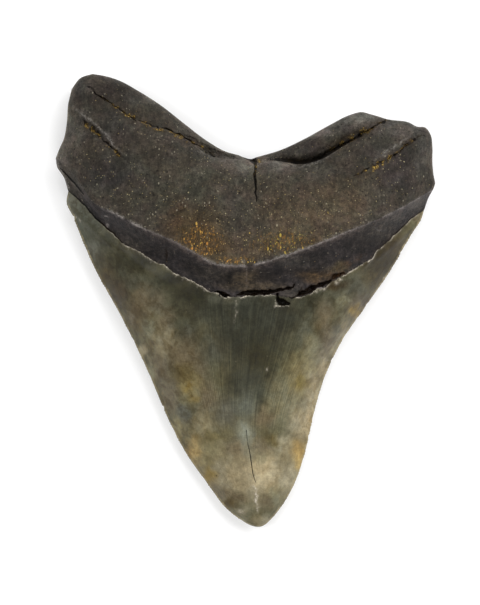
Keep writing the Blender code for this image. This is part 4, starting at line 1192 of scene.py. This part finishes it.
class Shader:
    """A material's nodes. Each method adds a node or a few, and returns their output."""

    def __init__(self, name):
        self.material = bpy.data.materials.new(name)
        self.material.use_nodes = True
        self.tree = self.material.node_tree
        self.surface = self.tree.nodes["Principled BSDF"]
        self.place = self.dim(self.add("ShaderNodeTexCoord").outputs["Object"], 1 / MM)

    def add(self, kind, **settings):
        node = self.tree.nodes.new(kind)
        for name, value in settings.items():
            setattr(node, name, value)
        return node

    def plug(self, socket, value):
        if isinstance(value, bpy.types.NodeSocket):
            self.tree.links.new(value, socket)
        else:
            socket.default_value = value

    def math(self, operation, *values, clamp=False):
        node = self.add("ShaderNodeMath", operation=operation, use_clamp=clamp)
        for socket, value in zip(node.inputs, values):
            self.plug(socket, value)
        return node.outputs[0]

    def times(self, first, second, clamp=False):
        return self.math("MULTIPLY", first, second, clamp=clamp)

    def attribute(self, name, output="Fac"):
        return self.add("ShaderNodeAttribute", attribute_name=name).outputs[output]

    def stretched(self, vector, scale):
        node = self.add("ShaderNodeMapping")
        self.plug(node.inputs["Vector"], vector)
        node.inputs["Scale"].default_value = scale
        return node.outputs[0]

    def noise(self, vector, scale, detail=4.0, roughness=0.55, distortion=0.0):
        node = self.add("ShaderNodeTexNoise")
        names = ("Vector", "Scale", "Detail", "Roughness", "Distortion")
        for name, value in zip(names, (vector, scale, detail, roughness, distortion)):
            self.plug(node.inputs[name], value)
        return node.outputs["Fac"]

    def split(self, colour):
        node = self.add("ShaderNodeSeparateColor")
        self.plug(node.inputs[0], colour)
        return node.outputs

    def between(self, value, low, high, to_low=0.0, to_high=1.0):
        """The value brought smoothly from one range to another."""
        node = self.add("ShaderNodeMapRange", interpolation_type="SMOOTHSTEP")
        for socket, number in zip(node.inputs, (value, low, high, to_low, to_high)):
            self.plug(socket, number)
        return node.outputs[0]

    def shaken(self, vector, scale, amount):
        """The places moved about by noise, so that what is drawn there looks less regular."""
        node = self.add("ShaderNodeTexNoise")
        self.plug(node.inputs["Vector"], vector)
        node.inputs["Scale"].default_value = scale
        move = self.add("ShaderNodeVectorMath", operation="MULTIPLY_ADD")
        self.plug(move.inputs[0], node.outputs["Color"])
        move.inputs[1].default_value = (amount, amount, amount)
        self.plug(move.inputs[2], vector)
        return move.outputs[0]

    def ragged(self, mask, scale=2.2, amount=0.9):
        """The mask with crisp, uneven edges instead of soft ones."""
        noise = self.math("SUBTRACT", self.noise(self.place, scale, 4, 0.65), 0.5)
        return self.between(self.math("MULTIPLY_ADD", noise, amount, mask), 0.35, 0.65)

    def grainy(self, mask, scale, floor=0.1):
        """The mask with fine grain in it, for worn places and crumbs."""
        grain = self.between(self.noise(self.place, scale, 3, 0.6), 0.4, 0.62, floor, 1.1)
        return self.times(mask, grain, clamp=True)

    def mix(self, share, first, second, how="MIX"):
        node = self.add("ShaderNodeMix", data_type="RGBA", blend_type=how)
        for name, value in (("Factor", share), ("A", first), ("B", second)):
            self.plug(next(i for i in node.inputs if i.name == name and i.enabled), value)
        return next(o for o in node.outputs if o.enabled)

    def facing(self, low, high, most):
        """1 where the surface is seen face on, rising to the most where it is seen from the side. The colour
        times this is a painted sheen.
        """
        return self.between(self.add("ShaderNodeLayerWeight").outputs["Facing"], low, high, 1.0, most)

    def dim(self, colour, factor):
        """The colour, or another vector, times a number."""
        node = self.add("ShaderNodeVectorMath", operation="SCALE")
        self.plug(node.inputs[0], colour)
        self.plug(node.inputs["Scale"], factor)
        return node.outputs[0]

    def shaded(self, colour, *layers):
        """The colour times each layer in turn: (value, low, high, factor at low, factor at high)."""
        for layer in layers:
            colour = self.dim(colour, self.between(*layer))
        return colour

    def tone(self, share, colour, first, second):
        """The colour times one tone or another, by the share."""
        return self.mix(1.0, colour, self.mix(share, (*first, 1.0), (*second, 1.0)), "MULTIPLY")

    def flecks(self, place, scale, density, reach=0.3):
        """Scattered flecks in this share of the cells: a mask, and a random number for each."""
        cells = self.add("ShaderNodeTexVoronoi")
        self.plug(cells.inputs["Vector"], place)
        cells.inputs["Scale"].default_value = scale
        random = self.split(cells.outputs["Color"])
        chosen = self.between(self.math("SUBTRACT", density, random[0]), 0.0, 0.04)
        size = self.math("ADD", self.times(random[1], reach), 0.12)
        shape = self.between(self.math("DIVIDE", cells.outputs["Distance"], size), 1.0, 0.6)
        return self.times(shape, chosen), random[2]

    def bump(self, height, strength, distance_mm, under=None):
        node = self.add("ShaderNodeBump")
        node.inputs["Strength"].default_value = strength
        node.inputs["Distance"].default_value = distance_mm * MM
        self.plug(node.inputs["Height"], height)
        if under is not None:
            self.plug(node.inputs["Normal"], under)
        return node.outputs[0]

    def finish(self, colour, roughness, normal, specular):
        self.plug(self.surface.inputs["Base Color"], colour)
        self.plug(self.surface.inputs["Roughness"], roughness)
        self.plug(self.surface.inputs["Normal"], normal)
        self.surface.inputs["Specular IOR Level"].default_value = specular
        return self.material


def own(name):
    """The surface's own colour that looks like this paint in the picture's light."""
    return (*(DARKNESS * srgb(*PAINTS[name])), 1.0)


def root_material():
    """Matt mineral-filled bone, with fine grain, pores, and flecks of yellow and orange clay."""
    s = Shader("fossil_root")
    dirt_and_shade, ochre, wear_and_highlight, fleck = (s.attribute(name) for name in ("dirt_and_shade", "ochre", "wear_and_highlight", "fleck"))
    grain = s.noise(s.place, 1.2, 4, 0.68)
    fine = s.noise(s.place, 3.4, 3, 0.6)
    fibre = s.noise(s.stretched(s.place, (1.7, 0.4, 1)), 1.0, 4, 0.6)
    colour = s.shaded(
        s.attribute("tint", "Color"),
        (s.noise(s.place, 0.13, 4, 0.55, 0.6), 0.36, 0.64, 0.84, 1.16),
        (s.noise(s.place, 0.32, 5, 0.6, 0.5), 0.35, 0.65, 0.78, 1.24),
        (grain, 0.32, 0.68, 0.66, 1.38),
        (fine, 0.3, 0.7, 0.8, 1.2),
        (fibre, 0.32, 0.68, 0.84, 1.16),
    )
    hue = s.between(s.noise(s.place, 0.2, 4, 0.6), 0.4, 0.6)
    colour = s.tone(hue, colour, (1.05, 0.99, 0.94), (0.96, 1.01, 0.98))
    shift = s.between(s.noise(s.place, 0.26, 5, 0.6, 0.8), 0.42, 0.62)
    colour = s.tone(shift, colour, (1.0, 1.0, 0.98), (1.02, 0.98, 1.03))
    # Painted sheen: the colour is lighter where the surface is seen edge on.
    colour = s.dim(colour, s.facing(0.45, 0.85, 1.75))
    # pores and scattered pale grains
    pores, _ = s.flecks(s.shaken(s.place, 1.3, 0.6), 1.2, 0.3, 0.25)
    colour = s.mix(s.times(pores, 0.6), colour, own("pore"))
    scatter = s.between(s.noise(s.place, 0.3, 4, 0.65), 0.46, 0.64, 0.02, 0.5)
    salt, shine = s.flecks(s.shaken(s.stretched(s.place, (1, 0.7, 1)), 0.9, 0.6), 1.5, scatter, 0.26)
    colour = s.mix(s.times(salt, s.between(shine, 0.0, 1.0, 0.25, 0.85)), colour, own("salt"))
    # clay: a stain, crumbs, and flecks that are orange on the left and yellow on the right
    thick = s.between(fleck, 0.3, 0.9)
    stain = s.times(thick, s.between(s.noise(s.place, 0.7, 5, 0.65), 0.42, 0.62, 0.25, 1.0))
    colour = s.mix(s.times(stain, 0.32), colour, own("clay_stain"))
    crumbs = s.math("ADD", s.noise(s.stretched(s.place, (2.2, 1.0, 1)), 1.0, 3, 0.6), s.times(thick, 0.08))
    crumbs = s.times(s.between(crumbs, 0.6, 0.68), s.times(thick, 0.6), clamp=True)
    colour = s.mix(crumbs, colour, own("crumb"))
    patchy = s.times(fleck, s.between(s.noise(s.place, 0.35, 3), 0.38, 0.62, 0.4, 1.4))
    shaken = s.shaken(s.place, 0.9, 0.5)
    streak = s.stretched(shaken, (1.0, 0.42, 1))
    long_flecks, tone = s.flecks(streak, 1.6, s.times(thick, s.times(patchy, 0.75)), 0.38)
    dots, dot_tone = s.flecks(shaken, 2.3, s.math("MULTIPLY_ADD", patchy, 0.75, 0.02), 0.3)
    yellow = s.between(s.split(s.place)[0], *YELLOW_FROM)
    clay = s.mix(s.times(yellow, 0.7), s.mix(tone, own("orange"), own("gold")), own("yellow"))
    khaki = s.mix(dot_tone, own("straw"), own("bone"))
    pale = s.mix(thick, khaki, s.mix(yellow, own("apricot"), own("lemon")))
    colour = s.mix(s.times(dots, s.between(dot_tone, 0.0, 1.0, 0.35, 0.95)), colour, pale)
    colour = s.mix(s.times(long_flecks, 0.9), colour, clay)
    # worn places and painted highlights, dirt with painted shade, and the ochre packed in the grooves
    colour = s.mix(s.times(s.grainy(wear_and_highlight, 2.4, 0.2), 0.8), colour, own("root_wear_and_highlight"))
    # Dirt and painted shade in the cracks, grooves, recesses and pits.
    colour = s.mix(s.times(s.ragged(dirt_and_shade), 0.92), colour, own("root_dirt_and_shade"))
    colour = s.mix(s.times(ochre, 0.75, clamp=True), colour, own("ochre_stain"))
    packed = s.times(s.ragged(ochre, 1.6, 1.0), s.between(s.noise(s.place, 2.8, 3, 0.7), 0.46, 0.6))
    colour = s.mix(packed, colour, s.mix(s.between(fine, 0.42, 0.6), own("ochre"), own("light_ochre")))
    height = s.math("SUBTRACT", s.math("ADD", grain, s.times(fibre, 0.5)), s.times(pores, 0.5))
    normal = s.bump(fine, 0.6, 0.08, s.bump(height, 0.9, 0.4))
    return s.finish(colour, s.between(grain, 0.3, 0.7, 0.66, 0.86), normal, 0.12)


def bourlette_material():
    """The dark band under the root: denser and smoother than the root, with faint fibres down it."""
    s = Shader("fossil_bourlette")
    dirt_and_shade, ochre, wear_and_highlight = (s.attribute(name) for name in ("dirt_and_shade", "ochre", "wear_and_highlight"))
    mottle = s.noise(s.place, 0.33, 6, 0.62, 0.8)
    patch = s.noise(s.stretched(s.place, (0.8, 1.3, 1)), 0.8, 5, 0.65, 0.4)
    grain = s.noise(s.place, 1.8, 5, 0.7)
    fine = s.noise(s.place, 4.5, 3, 0.6)
    fibre = s.noise(s.stretched(s.attribute("grain", "Vector"), (1.3, 0.12, 1)), 1.0, 5, 0.6)
    colour = s.shaded(s.attribute("tint", "Color"), (mottle, 0.35, 0.65, 0.7, 1.3))
    colour = s.tone(s.between(patch, 0.35, 0.65), colour, (0.62, 0.63, 0.66), (1.42, 1.36, 1.3))
    colour = s.shaded(
        colour, (grain, 0.32, 0.68, 0.76, 1.26), (fine, 0.3, 0.7, 0.84, 1.16), (fibre, 0.32, 0.68, 0.8, 1.24)
    )
    scratch = s.noise(s.stretched(s.shaken(s.place, 0.3, 1.2), (0.5, 3.0, 1)), 1.0, 3, 0.55)
    colour = s.mix(s.between(scratch, 0.64, 0.74, 0.0, 0.45), colour, own("scratch"))
    # Painted sheen: the colour is lighter where the surface is seen edge on.
    colour = s.dim(colour, s.facing(0.5, 0.85, 1.5))
    # Wear and painted highlight: the crest's pale line.
    colour = s.mix(s.times(s.grainy(wear_and_highlight, 2.4, 0.45), 0.9), colour, own("crest_wear_and_highlight"))
    specks, tone = s.flecks(s.shaken(s.place, 0.9, 0.5), 1.5, 0.1, 0.24)
    colour = s.mix(s.times(specks, 0.6), colour, s.mix(tone, own("brown_speck"), own("grey_speck")))
    # Dirt and painted shade: brown, then dark, in the gaps, cracks and the crease.
    colour = s.mix(s.times(dirt_and_shade, 0.5), colour, own("brown_dirt_and_shade"))
    colour = s.mix(s.times(s.ragged(dirt_and_shade), 0.95), colour, own("bourlette_dirt_and_shade"))
    colour = s.mix(s.grainy(ochre, 2.4, 0.3), colour, own("bourlette_clay"))
    normal = s.bump(fine, 0.5, 0.05, s.bump(s.math("ADD", grain, fibre), 0.7, 0.25))
    return s.finish(colour, s.between(mottle, 0.35, 0.65, 0.5, 0.66), normal, 0.13)


def enamel_material():
    """Stained enamel: satin, with cloudy stains, fine lines down the crown, pale edges that are partly wear
    and partly painted highlight, and a painted highlight along the cutting edges.
    """
    s = Shader("fossil_enamel")
    grain_place = s.attribute("grain", "Vector")
    dirt_and_shade, wear_and_highlight, rim = (s.attribute(name) for name in ("dirt_and_shade", "wear_and_highlight", "rim"))
    x, y, _ = s.split(s.place)
    centred = s.between(s.math("ABSOLUTE", s.math("SUBTRACT", x, 1.5)), 8.0, 17.0, 1.0, 0.0)
    middle = s.times(centred, s.between(y, -36.0, -24.0, 0.25, 1.0))
    sides = s.between(centred, 0.0, 1.0, 1.0, 0.4)
    cloud = s.noise(s.stretched(s.place, (1, 0.75, 1)), 0.17, 6, 0.6, 0.4)
    patch = s.noise(s.place, 0.34, 6, 0.66, 0.25)
    blot = s.noise(s.stretched(s.place, (1, 0.6, 1)), 0.55, 5, 0.6, 0.5)
    mottle = s.noise(s.place, 1.0, 5, 0.62, 0.3)
    fine = s.noise(s.place, 3.0, 4, 0.65)
    lines = s.noise(s.stretched(s.shaken(grain_place, 0.15, 1.5), (1.6, 0.06, 1)), 1.0, 4, 0.65)
    hairs = s.noise(s.stretched(s.shaken(grain_place, 0.2, 1.0), (4.2, 0.16, 1)), 1.0, 3, 0.6)
    clouds = s.between(cloud, 0.38, 0.62)
    colour = s.tone(clouds, s.attribute("tint", "Color"), (0.97, 0.93, 0.86), (1.05, 1.08, 1.12))
    dark_patches = s.times(s.between(patch, 0.44, 0.62), sides)
    colour = s.tone(dark_patches, colour, (1.12, 1.12, 1.12), (0.74, 0.69, 0.6))
    colour = s.shaded(colour, (blot, 0.35, 0.65, 0.88, 1.12), (mottle, 0.3, 0.7, 0.84, 1.16))
    for streaks, strength in ((lines, 1.5), (hairs, 1.2)):
        streak = s.times(s.math("SUBTRACT", streaks, 0.5), middle)
        colour = s.dim(colour, s.math("MULTIPLY_ADD", streak, strength, 1.0))
    colour = s.shaded(colour, (fine, 0.3, 0.7, 0.9, 1.1))
    specks, tone = s.flecks(s.shaken(s.place, 0.9, 0.5), 0.9, 0.12, 0.14)
    colour = s.mix(s.times(specks, 0.4), colour, s.mix(tone, own("dark_speck"), own("pale_speck")))
    # Painted highlight: a pale line along the cutting edges.
    edge = s.times(s.ragged(rim, 1.2), s.between(mottle, 0.35, 0.65, 0.3, 0.9))
    edge = s.times(edge, s.between(s.noise(s.place, 0.25, 3), 0.4, 0.6, 0.45, 1.0))
    colour = s.mix(edge, colour, own("rim"))
    # Wear and painted highlight: the broken edge, the tip ridge and the pale specks.
    colour = s.mix(s.grainy(wear_and_highlight, 2.6, 0.35), colour, own("enamel_wear_and_highlight"))
    # Dirt and painted shade in the cracks, the hole and the pits.
    colour = s.mix(s.times(s.ragged(dirt_and_shade), 0.92), colour, own("enamel_dirt_and_shade"))
    height = s.math("MULTIPLY_ADD", hairs, 0.4, lines)
    normal = s.bump(mottle, 0.25, 0.08, s.bump(height, 0.3, 0.1))
    return s.finish(colour, s.between(mottle, 0.3, 0.7, 0.36, 0.52), normal, 0.14)


# ---- Scene -------------------------------------------------------------------------------------------------


def build_floor():
    mesh = bpy.data.meshes.new("floor")
    half = FLOOR_HALF
    corners = [(-half, -half, 0), (half, -half, 0), (half, half, 0), (-half, half, 0)]
    mesh.from_pydata(corners, [], [(0, 1, 2, 3)])
    floor = bpy.data.objects.new("floor", mesh)
    floor.location.z = -FLOOR_GAP
    bpy.context.scene.collection.objects.link(floor)
    s = Shader("floor_paper")
    grain = s.noise(s.place, 0.5, 4)
    colour = s.mix(grain, *((grey, grey, grey, 1) for grey in FLOOR_GREYS))
    s.surface.inputs["Emission Color"].default_value = (1, 1, 1, 1)
    s.surface.inputs["Emission Strength"].default_value = FLOOR_GLOW
    mesh.materials.append(s.finish(colour, 0.9, s.bump(grain, 0.05, 0.05), 0.1))


def add_light(name, place, size, power):
    light = bpy.data.lights.new(name, "AREA")
    light.size = size
    light.energy = power
    lamp = bpy.data.objects.new(name, light)
    lamp.location = place
    lamp.rotation_euler = (-Vector(place)).to_track_quat("-Z", "Y").to_euler()
    bpy.context.scene.collection.objects.link(lamp)


def light_scene():
    for light in LIGHTS:
        add_light(*light)
    world = bpy.data.worlds.new("studio")
    world.use_nodes = True
    sky = world.node_tree.nodes["Background"]
    sky.inputs["Color"].default_value = (1, 1, 1, 1)
    sky.inputs["Strength"].default_value = WORLD_STRENGTH
    bpy.context.scene.world = world
    bpy.context.scene.view_settings.view_transform = "Standard"


def add_camera():
    """A camera straight above, which sees the width of VIEW_WIDTH at the height of the tooth's outline."""
    camera = bpy.data.cameras.new("camera")
    camera.sensor_fit = "HORIZONTAL"
    camera.sensor_width = SENSOR_WIDTH
    camera.lens = SENSOR_WIDTH * (CAMERA_HEIGHT - OUTLINE_HEIGHT) / VIEW_WIDTH
    camera.clip_end = CLIP_END
    obj = bpy.data.objects.new("camera", camera)
    obj.location = (VIEW_MIDDLE[0] * MM, VIEW_MIDDLE[1] * MM, CAMERA_HEIGHT * MM)
    bpy.context.scene.collection.objects.link(obj)
    bpy.context.scene.camera = obj


tooth = build_tooth()
for material in (root_material(), bourlette_material(), enamel_material()):
    tooth.data.materials.append(material)
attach(tooth, "root")
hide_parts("tooth")
build_floor()
light_scene()
add_camera()
